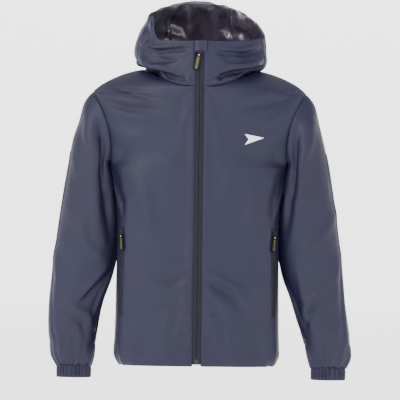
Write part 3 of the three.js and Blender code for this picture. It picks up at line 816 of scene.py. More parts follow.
@dataclass
class Shell:
    """The whole shell as one sewn surface, which is draped and then split into its panels."""

    body: BodyCut
    hood: HoodCut
    sleeve: SleeveCut
    points: np.ndarray = None
    base: np.ndarray = None
    corners: np.ndarray = None
    faces: list = field(default_factory=list)
    panels: list = field(default_factory=list)
    grids: dict = field(default_factory=dict)
    normal: np.ndarray = None
    evening_rounds: int = 60
    seam_dip: float = 1.1
    # How much larger than the form the draped cloth is cut, and the body's share of that.
    slack: float = 0.05
    body_slack: float = 0.4
    # How far the draped cloth may sink into the form on the body and in the hood.
    body_sink: float = 2.0
    hood_sink: float = 5.0
    # A placed fold's real half-width and height, as shares of those it is given.
    fold_width: float = 0.85
    fold_height: float = 1.45

    def build(self) -> None:
        """Collects every patch, sews the shared edges and evens out the creases between patches."""
        chunks, faces, panels, spans = [], [], [], {}
        columns = self.body.columns

        def add(
            name: str,
            side: Side,
            patch: np.ndarray,
            flip: bool,
            panel_of: Callable[[int], Panel],
            closed: bool = False,
        ) -> None:
            """Adds one patch on one side; panel_of gives the panel of a column.

            Args:
                name: the patch.
                side: the wearer's side.
                patch: rows by columns by xyz, drawn on the wearer's left.
                flip: whether its faces have to be turned over to face out.
                panel_of: which panel a column of faces is part of.
                closed: whether each row joins up with its own start.
            """
            start = sum(len(chunk) for chunk in chunks)
            grid = patch * np.array([side.value, 1, 1])
            chunks.append(grid.reshape(-1, 3))
            spans[name, side] = (start, grid.shape[:2])
            turned = flip != (side is Side.RIGHT)
            across = grid.shape[1] if closed else grid.shape[1] - 1
            for number, face in enumerate(grid_faces(*grid.shape[:2], closed)):
                faces.append([start + k for k in (reversed(face) if turned else face)])
                panels.append(panel_of(number % across))

        for side in Side:
            front = Panel.FRONT_LEFT if side is Side.LEFT else Panel.FRONT_RIGHT
            arm = Panel.SLEEVE_LEFT if side is Side.LEFT else Panel.SLEEVE_RIGHT
            step = 90 / columns
            add("front", side, self.body.quarter(False), False, lambda k, p=front: p)
            add("back", side, self.body.quarter(True), True, lambda k: Panel.BACK)
            add("hood_front", side, self.hood.quarter(False, side), False,
                lambda k, s=side: self.hood.panel(step * (k + 0.5), s))
            add("hood_back", side, self.hood.quarter(True, side), True,
                lambda k, s=side: self.hood.panel(180 - step * (k + 0.5), s))
            add("sleeve", side, self.sleeve.rings()[::-1], False, lambda k, p=arm: p, closed=True)
        points = np.concatenate(chunks)
        _, first, where = np.unique(np.round(points, 3), axis=0, return_index=True, return_inverse=True)
        where = where.reshape(-1)
        for key, (start, shape) in spans.items():
            self.grids[key] = where[start : start + shape[0] * shape[1]].reshape(shape)
        for face, panel in zip(faces, panels):
            sewn = tuple(dict.fromkeys(int(where[k]) for k in face))
            if len(sewn) > 2:
                self.faces.append(sewn)
                self.panels.append(panel)
        self.corners = np.array([(face + face[-1:])[:4] for face in self.faces])
        self.points = self.swayed(self.evened(points[first], self.evening_rounds))
        self.base = self.points.copy()
        self.normal = self.normals()

    def links(self) -> tuple:
        """Neighbouring points as two equal lists, each pair both ways, and the open-edge points.

        Returns:
            Two equal lists of point numbers, and a mark for each point on an open edge.
        """
        pairs = np.concatenate([self.corners[:, [k, (k + 1) % 4]] for k in range(4)])
        pairs = np.sort(pairs[pairs[:, 0] != pairs[:, 1]], axis=1)
        pairs, uses = np.unique(pairs, axis=0, return_counts=True)
        is_open = np.zeros(self.corners.max() + 1, bool)
        is_open[pairs[uses == 1].reshape(-1)] = True
        there = np.concatenate([pairs[:, 0], pairs[:, 1]])
        back = np.concatenate([pairs[:, 1], pairs[:, 0]])
        return there, back, is_open

    def evened(self, points: np.ndarray, rounds: int) -> np.ndarray:
        """Relaxes the points towards their neighbours without shrinking; open edges stay.

        Args:
            points: the points.
            rounds: how many times.

        Returns:
            The relaxed points.
        """
        a, b, is_open = self.links()
        degree = np.bincount(a, minlength=len(points))[:, None]
        for _ in range(rounds):
            for weight in (0.5, -0.52):
                total = np.zeros_like(points)
                np.add.at(total, a, points[b])
                moved = points + weight * (total / degree - points)
                points = np.where(is_open[:, None], points, moved)
        return points

    def swayed(self, points: np.ndarray) -> np.ndarray:
        """Lets both sleeves hang a little towards the wearer's left, as the whole jacket leans."""
        moved = points.copy()
        moved[:, 0] += np.where(self.points_of(*ARMS, count=len(points)), sway(points[:, 2]), 0)
        return moved

    def normals(self) -> np.ndarray:
        """Outward unit normals at the points.

        Returns:
            One normal for each point.
        """
        corner = self.points[self.corners]
        each = np.cross(corner[:, 2] - corner[:, 0], corner[:, 3] - corner[:, 1])
        total = np.zeros_like(self.points)
        for k in range(4):
            np.add.at(total, self.corners[:, k], each)
        return total / np.maximum(np.linalg.norm(total, axis=1, keepdims=True), 1e-9)

    def points_of(self, *wanted: Panel, count: int = 0) -> np.ndarray:
        """Marks the points of the wanted panels; count is needed before the points are set.

        Args:
            wanted: the panels.
            count: how many points there are.

        Returns:
            True for each point of theirs.
        """
        mark = np.zeros(count or len(self.points), bool)
        chosen = np.array([panel in wanted for panel in self.panels])
        mark[self.corners[chosen].reshape(-1)] = True
        return mark

    def seam_points(self) -> np.ndarray:
        """Marks the points where two panels meet."""
        return sum(self.points_of(panel).astype(int) for panel in Panel) > 1

    def lift(self, offset: np.ndarray) -> None:
        """Moves every point along its normal by its own offset."""
        self.points = self.points + self.normal * offset[:, None]
        self.normal = self.normals()

    def holding(self) -> np.ndarray:
        """How firmly each point is held: zips, hem, cuffs, rim, yoke and the body's sides.

        Returns:
            From 0, free, to 1, fixed, for each point.
        """
        x, y, z = self.base.T
        body = self.body
        sleeves = self.points_of(*ARMS)
        hold = np.zeros(len(x))
        hold[(z > -75) & (z < 5) & ~sleeves] = 0.25
        hold[self.links()[2] & (z > 20)] = 0.5
        hold[(np.abs(x) < 20) & (y < -100)] = 1.0
        hold[z < body.hem_z + 20] = 1.0
        hold = np.maximum(hold, np.where(sleeves, smoothstep(-z, 640, 695), 0))
        pocket = (y < body.mid_y) & (np.abs(np.abs(x) - 177) < 16) & (z > -600) & (z < -366) & ~sleeves
        hold[pocket] = 1.0
        side = (np.abs(x) > 176) & (np.abs(y - body.mid_y) < 30) & (z > -480) & (z < -200)
        hold[side] = np.maximum(hold[side], 0.7)
        return hold

    def drape(self, frames: int = 20, cap_mm: float = 11.0) -> None:
        """Lets the cloth, cut a little larger than the form, buckle and sag, hardly into the form.

        Args:
            frames: how long it falls, at 24 frames a second.
            cap_mm: about the most that a point may move.
        """
        cloth = new_object("draping_cloth", mesh_from("draping_cloth", self.points, self.faces))
        pins = cloth.vertex_groups.new(name="held")
        growth = cloth.vertex_groups.new(name="growth")
        full = self.points_of(*ARMS) | (self.points[:, 2] > -5)
        for k, weight in enumerate(self.holding()):
            pins.add([k], float(weight), "REPLACE")
            growth.add([k], 1.0 if full[k] else self.body_slack, "REPLACE")
        modifier = cloth.modifiers.new("Cloth", "CLOTH")
        settings = modifier.settings
        settings.quality = 5
        settings.mass = 0.12
        settings.tension_stiffness = 18
        settings.compression_stiffness = 18
        settings.shear_stiffness = 6
        settings.bending_stiffness = 1.2
        settings.air_damping = 3
        settings.vertex_group_mass = "held"
        settings.vertex_group_shrink = "growth"
        settings.shrink_min = 0.0
        settings.shrink_max = -self.slack
        modifier.collision_settings.use_collision = False
        scene = bpy.context.scene
        scene.frame_start, scene.frame_end = 1, frames
        modifier.point_cache.frame_start, modifier.point_cache.frame_end = 1, frames
        for number in range(1, frames + 1):
            scene.frame_set(number)
        fallen = cloth.evaluated_get(bpy.context.evaluated_depsgraph_get()).data
        moved = np.empty(len(self.points) * 3)
        fallen.vertices.foreach_get("co", moved)
        shift = moved.reshape(-1, 3) / MM - self.points
        bpy.data.objects.remove(cloth)
        scene.frame_set(1)
        inward = -(shift * self.normal).sum(axis=1)
        room = np.where(self.points[:, 2] > 5, self.hood_sink, self.body_sink)
        shift += self.normal * np.maximum(inward - room, 0)[:, None]
        size = np.linalg.norm(shift, axis=1, keepdims=True)
        self.points = self.points + shift * np.tanh(size / cap_mm) * cap_mm / np.maximum(size, 1e-6)
        self.normal = self.normals()

    def gather(self) -> None:
        """Adds the gathers of the elastic hem and sleeve ends, the seam dips and the hood's crumples."""
        x, y, z = self.base.T
        sleeves = self.points_of(*ARMS)
        torso = ~sleeves & (z < -60)
        angle = np.arctan2(x, -(y - self.body.mid_y))
        hem = np.sin(angle * 46 + 1.3 * np.sin(angle * 9)) * 1.9 + np.sin(angle * 71 + 2) * 0.8
        offset = np.where(torso, hem * smoothstep(np.abs(x), 120, 185) * smoothstep(-z, 628, 690), 0)
        turn = np.arctan2(y + 84, np.abs(x) - 300)
        pleats = np.sin(turn * 17 + 0.8 * np.sin(turn * 4)) * 2.2 + np.sin(turn * 29 + 1) * 0.8
        offset += np.where(sleeves, pleats * smoothstep(-z, 640, 700), 0)
        offset -= np.where(self.seam_points(), self.seam_dip, 0)
        hooded = ~sleeves & (z > 14) & (y > -95)
        crumple = [noise.noise(Vector(p) / 46) + 0.35 * noise.noise(Vector(p) / 21) for p in self.base]
        ridges = 1 - 2.6 * np.abs(np.array(crumple))
        fade = smoothstep(z, 14, 50) * smoothstep(y, -95, -40)
        offset += np.where(hooded, 5.0 * (ridges - 0.4), 0) * fade
        self.lift(offset)

    def fold(self, route: list, width: float, height: float, where: np.ndarray) -> None:
        """Raises a soft ridge along a route of (x, z) points seen from the front.

        Args:
            route: the points that it passes, in millimetres.
            width: half-width of the ridge before fold_width scales it.
            height: how far it stands out before fold_height scales it; negative makes a hollow.
            where: marks the points that it may touch.
        """
        plan = self.base[:, [0, 2]]
        nearest = np.full(len(plan), np.inf)
        fade = np.zeros(len(plan))
        legs = len(route) - 1
        width, height = width * self.fold_width, height * self.fold_height
        for number, (start, end) in enumerate(zip(route, route[1:])):
            a, along = np.array(start, float), np.subtract(end, start).astype(float)
            share = np.clip((plan - a) @ along / (along @ along), 0, 1)
            off = np.linalg.norm(plan - (a + share[:, None] * along), axis=1)
            closer = off < nearest
            nearest = np.where(closer, off, nearest)
            fade = np.where(closer, np.sin(math.pi * (0.06 + 0.88 * (number + share) / legs)), fade)
        self.lift(np.where(where, height * np.exp(-((nearest / width) ** 2)) * fade, 0))

    def sample(
        self, name: str, side: Side, rows: np.ndarray, columns: np.ndarray, lift: float = 0.0
    ) -> np.ndarray:
        """Points of the draped shell at fractional rows and columns of a patch.

        Args:
            name: the patch.
            side: the wearer's side.
            rows: fractional rows.
            columns: fractional columns, matched with the rows.
            lift: distance along the outward normal.

        Returns:
            The points, in the shape of rows and columns with xyz last.
        """
        index = self.grids[name, side]
        rows, columns = np.broadcast_arrays(np.asarray(rows, float), np.asarray(columns, float))
        i = np.clip(rows.astype(int), 0, index.shape[0] - 2)
        j = np.clip(columns.astype(int), 0, index.shape[1] - 2)
        u, v = (rows - i)[..., None], (columns - j)[..., None]

        def mixed(values: np.ndarray) -> np.ndarray:
            """Bilinear mix of a value held at every point."""
            low = values[index[i, j]] * (1 - v) + values[index[i, j + 1]] * v
            high = values[index[i + 1, j]] * (1 - v) + values[index[i + 1, j + 1]] * v
            return low * (1 - u) + high * u

        normal = mixed(self.normal)
        return mixed(self.points) + normal / np.linalg.norm(normal, axis=-1, keepdims=True) * lift

    def piece(self, panel: Panel) -> bpy.types.Object:
        """One panel as an object: outer cloth, glossy coating inside.

        Args:
            panel: the panel.

        Returns:
            Its object, which has its thickness.
        """
        chosen = [face for face, owner in zip(self.faces, self.panels) if owner is panel]
        used = sorted({k for face in chosen for k in face})
        number = {k: i for i, k in enumerate(used)}
        name = panel.value + "_cloth"
        faces = [[number[k] for k in face] for face in chosen]
        thing = new_object(name, mesh_from(name, self.points[used], faces), SHELL, COATING)
        return walled(thing, 0.7, offset=-1, inner=1)


ARMS = (Panel.SLEEVE_LEFT, Panel.SLEEVE_RIGHT)
SLEEVE_SWAY = 11


def sway(z: np.ndarray) -> np.ndarray:
    """How far the sleeves hang aside at a height, in millimetres."""
    return SLEEVE_SWAY * smoothstep(-np.asarray(z, float), 540, 710)


# ---------------------------------------------------------------- piece makers


def walled(thing: bpy.types.Object, wall_mm: float, offset: float = 0, inner: int = 0) -> bpy.types.Object:
    """Gives a sheet its thickness and returns it as a plain mesh.

    Args:
        thing: the sheet.
        wall_mm: its thickness.
        offset: -1 thickens inwards only, 0 both ways.
        inner: how many slots further on the inner face's material is.

    Returns:
        The same object, thickened.
    """
    wall = thing.modifiers.new("wall", "SOLIDIFY")
    wall.thickness = wall_mm * MM
    wall.offset = offset
    wall.material_offset = inner
    return baked(thing)


def cloth_grid(
    name: str, grid: np.ndarray, wall_mm: float, *finishes: Finish, closed: bool = False
) -> bpy.types.Object:
    """A walled sheet from rows by columns of points.

    Args:
        name: the piece's name.
        grid: the points, with xyz last.
        wall_mm: its thickness.
        finishes: its material, or outer and inner one.
        closed: whether each row joins up with its own start.

    Returns:
        The sheet.
    """
    rows, columns = grid.shape[:2]
    mesh = mesh_from(name, grid.reshape(-1, 3), grid_faces(rows, columns, closed))
    return walled(new_object(name, mesh, *finishes), wall_mm, inner=len(finishes) - 1)


def plate(
    name: str, frame: "Frame", outline: list, depths: tuple, finish: Finish, bevel: float = 0.4
) -> bpy.types.Object:
    """A plate with softened edges.

    Args:
        name: the piece's name.
        frame: where it is.
        outline: (x, z) points, anticlockwise seen from the front.
        depths: y of its front and back faces.
        finish: its material.
        bevel: width of the softened edges.

    Returns:
        The plate.
    """
    points = [(x, y, z) for y in depths for x, z in outline]
    count = len(outline)
    faces = [tuple(range(count)), tuple(reversed(range(count, 2 * count)))]
    faces += [(k, k + count, (k + 1) % count + count, (k + 1) % count) for k in range(count)]
    mesh = mesh_from(name, frame.out(points), faces)
    work = bmesh.new()
    work.from_mesh(mesh)
    bmesh.ops.recalc_face_normals(work, faces=work.faces)
    rims = [edge for edge in work.edges if edge.calc_face_angle(0) > 1.2]
    bmesh.ops.bevel(work, geom=rims, offset=bevel * MM, segments=3, profile=0.5, affect="EDGES")
    work.to_mesh(mesh)
    work.free()
    mesh.polygons.foreach_set("use_smooth", [True] * len(mesh.polygons))
    return new_object(name, mesh, finish)


def rounded(width: float, low: float, high: float, radius: float, steps: int = 4) -> list:
    """Outline of a rounded rectangle, centred in x, from low to high in z.

    Args:
        width: across x.
        low: the lowest z.
        high: the highest z.
        radius: of the corners.
        steps: spans in each corner.

    Returns:
        (x, z) points, anticlockwise seen from the front.
    """
    centres = [(width / 2 - radius, low + radius, -90), (width / 2 - radius, high - radius, 0),
               (radius - width / 2, high - radius, 90), (radius - width / 2, low + radius, 180)]
    return [
        (x + radius * math.cos(math.radians(start + 90 * k / steps)),
         z + radius * math.sin(math.radians(start + 90 * k / steps)))
        for x, z, start in centres
        for k in range(steps + 1)
    ]


@dataclass(frozen=True)
class Frame:
    """A right-handed frame: x across, -y outward, z up; in millimetres."""

    origin: np.ndarray
    turn: np.ndarray

    @classmethod
    def standing(cls, origin: tuple, outward: tuple, up: tuple) -> "Frame":
        """A frame at origin whose z runs up and whose -y faces outward as nearly as it can.

        Args:
            origin: where it is.
            outward: the direction that -y comes near.
            up: the direction of z.

        Returns:
            The frame.
        """
        z = np.array(up, float) / np.linalg.norm(up)
        y = -np.array(outward, float)
        y -= z * (y @ z)
        y /= np.linalg.norm(y)
        return cls(np.array(origin, float), np.stack([np.cross(y, z), y, z], axis=1))

    def out(self, points: np.ndarray) -> np.ndarray:
        """Local points in the jacket's frame."""
        return np.asarray(points, float) @ self.turn.T + self.origin

    def tilted(self, degrees: float, offset: tuple = (0, 0, 0)) -> "Frame":
        """The same frame moved by a local offset and turned about its y axis, foot towards -x."""
        a = math.radians(degrees)
        about = np.array([[math.cos(a), 0, math.sin(a)], [0, 1, 0], [-math.sin(a), 0, math.cos(a)]])
        return Frame(self.out([offset])[0], self.turn @ about)


class NodeTree(Enum):
    """The Geometry Nodes trees, by what they make along a path."""

    STITCHES = "stitches_along_path"
    WIRE = "wire_along_path"


def path_tree(kind: NodeTree) -> bpy.types.NodeTree:
    """Builds a tree once: it reads edges as paths and makes stitches or a wire along them.

    Args:
        kind: what it makes.

    Returns:
        The tree, with its inputs named.
    """
    if kind.value in bpy.data.node_groups:
        return bpy.data.node_groups[kind.value]
    tree = bpy.data.node_groups.new(kind.value, "GeometryNodeTree")
    face = tree.interface
    face.new_socket("Geometry", in_out="INPUT", socket_type="NodeSocketGeometry")
    for name in ("Pitch", "Length", "Radius"):
        face.new_socket(name, in_out="INPUT", socket_type="NodeSocketFloat")
    face.new_socket("Material", in_out="INPUT", socket_type="NodeSocketMaterial")
    face.new_socket("Geometry", in_out="OUTPUT", socket_type="NodeSocketGeometry")
    given = add_node(tree, "NodeGroupInput").outputs
    paths = add_node(tree, "GeometryNodeMeshToCurve", {"Mesh": given["Geometry"]}).outputs["Curve"]
    if kind is NodeTree.STITCHES:
        spaced = add_node(
            tree, "GeometryNodeResampleCurve", {"Curve": paths, "Length": given["Pitch"]}, mode="LENGTH"
        ).outputs["Curve"]
        stitch = add_node(
            tree,
            "GeometryNodeMeshCylinder",
            {"Vertices": 6, "Radius": given["Radius"], "Depth": given["Length"]},
        ).outputs["Mesh"]
        tangent = add_node(tree, "GeometryNodeInputTangent").outputs["Tangent"]
        turned = add_node(
            tree, "FunctionNodeAlignRotationToVector", {"Vector": tangent}, axis="Z"
        ).outputs[0]
        made = add_node(
            tree,
            "GeometryNodeInstanceOnPoints",
            {"Points": spaced, "Instance": stitch, "Rotation": turned},
        ).outputs["Instances"]
    else:
        section = add_node(
            tree, "GeometryNodeCurvePrimitiveCircle", {"Resolution": 6, "Radius": given["Radius"]}
        ).outputs["Curve"]
        made = add_node(
            tree, "GeometryNodeCurveToMesh", {"Curve": paths, "Profile Curve": section, "Fill Caps": True}
        ).outputs["Mesh"]
    real = add_node(tree, "GeometryNodeRealizeInstances", {"Geometry": made}).outputs["Geometry"]
    real = add_node(tree, "GeometryNodeSetShadeSmooth", {"Geometry": real}).outputs["Geometry"]
    real = add_node(
        tree, "GeometryNodeSetMaterial", {"Geometry": real, "Material": given["Material"]}
    ).outputs["Geometry"]
    add_node(tree, "NodeGroupOutput", {"Geometry": real})
    return tree


def along_paths(
    name: str,
    kind: NodeTree,
    paths: list,
    finish: Finish,
    radius: float,
    pitch: float = 3.2,
    length: float = 2.3,
    closed: bool = False,
) -> bpy.types.Object:
    """Runs a tree over polylines and returns the result as a plain mesh object.

    Args:
        name: the piece's name.
        kind: stitches or a wire.
        paths: arrays of points in millimetres.
        finish: its material.
        radius: of the thread or the wire.
        pitch: from one stitch to the next.
        length: of one stitch.
        closed: whether each path ends where it began.

    Returns:
        The piece.
    """
    points, edges = [], []
    for path in paths:
        start = len(points)
        points += [tuple(point) for point in np.asarray(path)]
        edges += [(k, k + 1) for k in range(start, len(points) - 1)]
        if closed:
            edges.append((len(points) - 1, start))
    mesh = bpy.data.meshes.new(name)
    mesh.from_pydata((np.array(points) * MM).tolist(), edges, [])
    thing = new_object(name, mesh, finish)
    modifier = thing.modifiers.new("path", "NODES")
    modifier.node_group = path_tree(kind)
    values = {
        "Pitch": pitch * MM,
        "Length": length * MM,
        "Radius": radius * MM,
        "Material": finish.material(),
    }
    for socket in modifier.node_group.interface.items_tree:
        if socket.in_out == "INPUT" and socket.name in values:
            modifier[socket.identifier] = values[socket.name]
    return baked(thing)


def settle(thing: bpy.types.Object, body: str, slot: str, *nodes: str) -> bpy.types.Object:
    """Ties a finished piece to its body, and hides the CAD nodes that it stands for.

    Args:
        thing: the piece.
        body: the body that carries it.
        slot: its material slot; not used.
        nodes: the CAD nodes it stands for, if any.

    Returns:
        The same piece.
    """
    if nodes:
        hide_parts(*nodes)
    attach(thing, body)
    LOG.info("%s rides on %s", thing.name, body)
    return thing


# ---------------------------------------------------------------- sewn-in trim


@dataclass
class Trim:
    """Everything sewn to the shell: facings, elastics, tapes, bags, loop, print and stitching."""

    shell: Shell

    def grid(
        self, name: str, side: Side, rows: tuple, columns: tuple, lift: float, size: tuple
    ) -> np.ndarray:
        """A block of shell points between two rows and two columns, lifted.

        Args:
            name: the patch.
            side: the wearer's side.
            rows: the first and last fractional row.
            columns: the first and last fractional column.
            lift: distance along the outward normal.
            size: how many points down and across.

        Returns:
            The points, with xyz last.
        """
        along_rows, along_columns = np.linspace(*rows, size[0]), np.linspace(*columns, size[1])
        down, across = np.meshgrid(along_rows, along_columns, indexing="ij")
        return self.shell.sample(name, side, down, across, lift)

    def whole_back(self, rows: tuple, lift: float, size: tuple) -> np.ndarray:
        """A block of the whole back, from the right side seam to the left one.

        Args:
            rows: the lowest and highest row.
            lift: distance along the normal.
            size: how many points down and across each half.

        Returns:
            The points, with xyz last.
        """
        columns = self.shell.body.columns
        right = self.grid("back", Side.RIGHT, rows, (columns, 0), lift, size)
        left = self.grid("back", Side.LEFT, rows, (0, columns), lift, size)
        return np.concatenate([right, left[:, 1:]], axis=1)

    def hem(self) -> None:
        """The hem's inner facing and the elastics at its sides."""
        body = self.shell.body
        last = body.row_at(body.hem_z + 26)
        for side in Side:
            front = self.grid("front", side, (0.15, last), (0.5, body.columns), -3.6, (6, 70))
            facing = cloth_grid(f"hem_facing_cloth_{side.word}", front, 0.6, SHELL)
            settle(facing, "jacket", "shell_fabric", f"hem_facing_{side.word}")
            rows = (body.row_at(body.hem_z + 5), body.row_at(body.hem_z + 21))
            ahead = self.grid("front", side, rows, (26, body.columns), -2.1, (9, 50))
            behind = self.grid("back", side, rows, (body.columns, 26), -2.1, (9, 50))
            band = np.concatenate([ahead, behind[:, 1:]], axis=1)
            elastic = cloth_grid(f"hem_elastic_band_{side.word}", band, 1.0, ELASTIC)
            settle(elastic, "jacket", "elastic", f"hem_elastic_{side.word}")
        whole = self.whole_back((0.15, last), -3.6, (6, 70))
        facing = cloth_grid("hem_facing_cloth_back", whole, 0.6, SHELL)
        settle(facing, "jacket", "shell_fabric", "hem_facing_back")

    def seam_tapes(self) -> None:
        """Heat-sealed tapes over the side and shoulder seams, inside."""
        body = self.shell.body
        top = body.hem_rows + body.armhole_rows
        for side in Side:
            for word, rows, count, flat in (
                ("side", (6, body.hem_rows - 3), 60, (0.018, 0.40)),
                ("shoulder", (top + 2, top + body.yoke_rows - 1.5), 24, (0.018, 0.11)),
            ):
                reach = 2.1 if word == "side" else 4.0
                edge, seam, size = body.columns - reach, body.columns, (count, 4)
                ahead = self.grid("front", side, rows, (edge, seam), -1.5, size)
                behind = self.grid("back", side, rows, (seam, edge), -1.5, size)
                band = np.concatenate([ahead, behind[:, 1:]], axis=1)
                tape = cloth_grid(f"{word}_seam_film_{side.word}", band, 0.25, SEAM_FILM)
                settle(tape, "jacket", "seam_tape", f"{word}_seam_tape_{side.word}")

    def pocket_bags(self) -> None:
        """Two layers of lining that hang empty behind each front, with soft vertical folds."""
        body = self.shell.body
        for side in Side:
            rows = (body.row_at(-655), body.row_at(-400))
            columns = (body.column_at(45, -520), body.column_at(160, -520))
            layers = []
            for depth in (-5.0, -7.5):
                grid = self.grid("front", side, rows, columns, depth, (46, 30))
                wave = np.sin(np.linspace(0, 9, 30)) * np.linspace(1, 0.2, 46)[:, None]
                grid[..., 1] += 0.9 * wave
                layers.append(grid)
            folded = np.concatenate([layers[0], layers[1][::-1]], axis=0)
            bag = cloth_grid(f"pocket_bag_cloth_{side.word}", folded, 0.4, LINING)
            settle(bag, "jacket", "pocket_lining", f"pocket_bag_{side.word}")

    def storm_flap(self) -> None:
        """The flap behind the main zip, sewn to the wearer's left front."""
        body = self.shell.body
        heights = np.linspace(-671, -64, 90)
        across = np.linspace(-12, 24, 10)
        z, x = np.meshgrid(heights, across, indexing="ij")
        wave = 0.8 * np.sin(z / 23) * np.clip((10 - x) / 20, 0, 1)
        y = body.front_line(z) + 5.2 + wave
        flap = cloth_grid("storm_flap_cloth", np.stack([x, y, z], axis=-1), 0.8, SHELL)
        settle(flap, "jacket", "shell_fabric", "storm_flap")

    def hanger(self) -> None:
        """The tape loop inside the back neck, with its two ends sewn down."""
        low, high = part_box("hanger_loop")
        half, height = high.x / MM, (high.z - low.z) / MM
        x = np.linspace(-half, half, 34)
        bow = np.clip(1.15 * np.cos(x / half * math.pi / 2) ** 0.35, 0, 1)
        y = (high.y / MM - 0.6) + (low.y - high.y) / MM * bow + 0.6 * bow
        z = np.linspace(-height / 2, height / 2, 7)
        grid = np.stack([np.broadcast_to(x, (7, 34)), np.broadcast_to(y, (7, 34)),
                         np.broadcast_to(z[:, None], (7, 34))], axis=-1)
        loop = cloth_grid("hanger_loop_tape", grid, 0.9, HANGER_TAPE)
        settle(loop, "jacket", "hanger_tape", "hanger_loop")

    def emblem(self) -> None:
        """A plain pennant on the left breast, printed on the draped cloth."""
        cloth = self.shell
        tree = BVHTree.FromPolygons(cloth.points.tolist(), cloth.faces)
        centre_x, centre_z, half, rise = 129, -170, 22, 12.5
        rows, columns = 15, 31
        grid = np.zeros((rows, columns, 3))
        for j, across in enumerate(np.linspace(-1, 1, columns)):
            for i, up in enumerate(np.linspace(-1, 1, rows)):
                notch = 0.42 * (1 - abs(up)) * (1 - across) / 2
                x = centre_x + half * (across + notch)
                z = centre_z + rise * up * (1 - 0.97 * (across + 1) / 2) + 2.0 * across
                hit, normal, _, _ = tree.ray_cast(Vector((x, -400, z)), Vector((0, 1, 0)))
                outward = normal if normal.y < 0 else -normal
                grid[i, j] = hit + outward * 0.45
        printed = cloth_grid("chest_pennant_print", grid, 0.3, PRINT)
        settle(printed, "jacket", "chest_print", "chest_emblem")

    def stitching(self) -> None:
        """Lines of stitches beside every seam that shows."""
        body, shell = self.shell.body, self.shell
        columns = body.columns
        everywhere = np.linspace(0.3, columns, 90)
        hem_row = body.row_at(body.hem_z + 29)
        zip_rows = np.linspace(1.0, body.hem_rows - 1, 110)
        heights = np.interp(zip_rows, (0, body.hem_rows), (body.hem_z, body.armpit_z))
        armhole = np.linspace(body.hem_rows + 1, body.hem_rows + body.armhole_rows, 60)
        shoulder = body.hem_rows + body.armhole_rows
        yoke = np.linspace(shoulder, shoulder + body.yoke_rows, 24)
        hood_rows = self.shell.hood.rows
        hems, sides, armholes, shoulders = [], [], [], []
        for side in Side:
            hems.append(shell.sample("front", side, hem_row, everywhere, 0.3))
            hems.append(shell.sample("back", side, hem_row, everywhere, 0.3))
            across = [body.column_at(15, z) for z in heights]
            upper = shell.sample("front", side, np.linspace(body.hem_rows - 1, 118, 80), across[-1], 0.3)
            sides.append(np.concatenate([shell.sample("front", side, zip_rows, across, 0.3), upper]))
            armholes.append(shell.sample("front", side, armhole, columns - 0.8, 0.3))
            armholes.append(shell.sample("back", side, armhole, columns - 0.8, 0.3))
            shoulders.append(shell.sample("back", side, yoke, columns - 0.7, 0.3))
        rows_of = {"hem": hems, "zip_edge": sides, "armhole": armholes, "shoulder": shoulders}
        for word, lines in rows_of.items():
            row = along_paths(f"{word}_stitches", NodeTree.STITCHES, lines, THREAD, 0.3)
            settle(row, "jacket", "shell_fabric")
        gusset = columns - (180 - self.shell.hood.gusset_start) * columns / 90
        for side in Side:
            up = np.linspace(5, hood_rows - 0.4, 60)
            line = shell.sample("hood_back", side, up, columns - gusset + 0.35, -1.0)
            name = f"hood_seam_stitches_{side.word}"
            pale = along_paths(name, NodeTree.STITCHES, [line], PALE_THREAD, 0.45, pitch=4.2, length=2.6)
            hood_blend(pale)
            rim = [shell.sample("hood_back", side, hood_rows - 2.0, everywhere, 0.3)]
            outer = along_paths(f"hood_rim_stitches_{side.word}", NodeTree.STITCHES, rim, THREAD, 0.3)
            hood_blend(outer)
        chin = [shell.sample("hood_front", side, hood_rows - 2.0, everywhere[:70], 0.3) for side in Side]
        neck = [shell.sample("hood_front", side, 0.8, everywhere, 0.3) for side in Side]
        chin_rows = along_paths("chin_stitches", NodeTree.STITCHES, chin + neck, THREAD, 0.3)
        settle(chin_rows, "jacket", "shell_fabric")


def hood_blend(thing: bpy.types.Object) -> None:
    """Bakes a hood piece's transform into its mesh."""
    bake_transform(thing)


# ---------------------------------------------------------------- cuffs


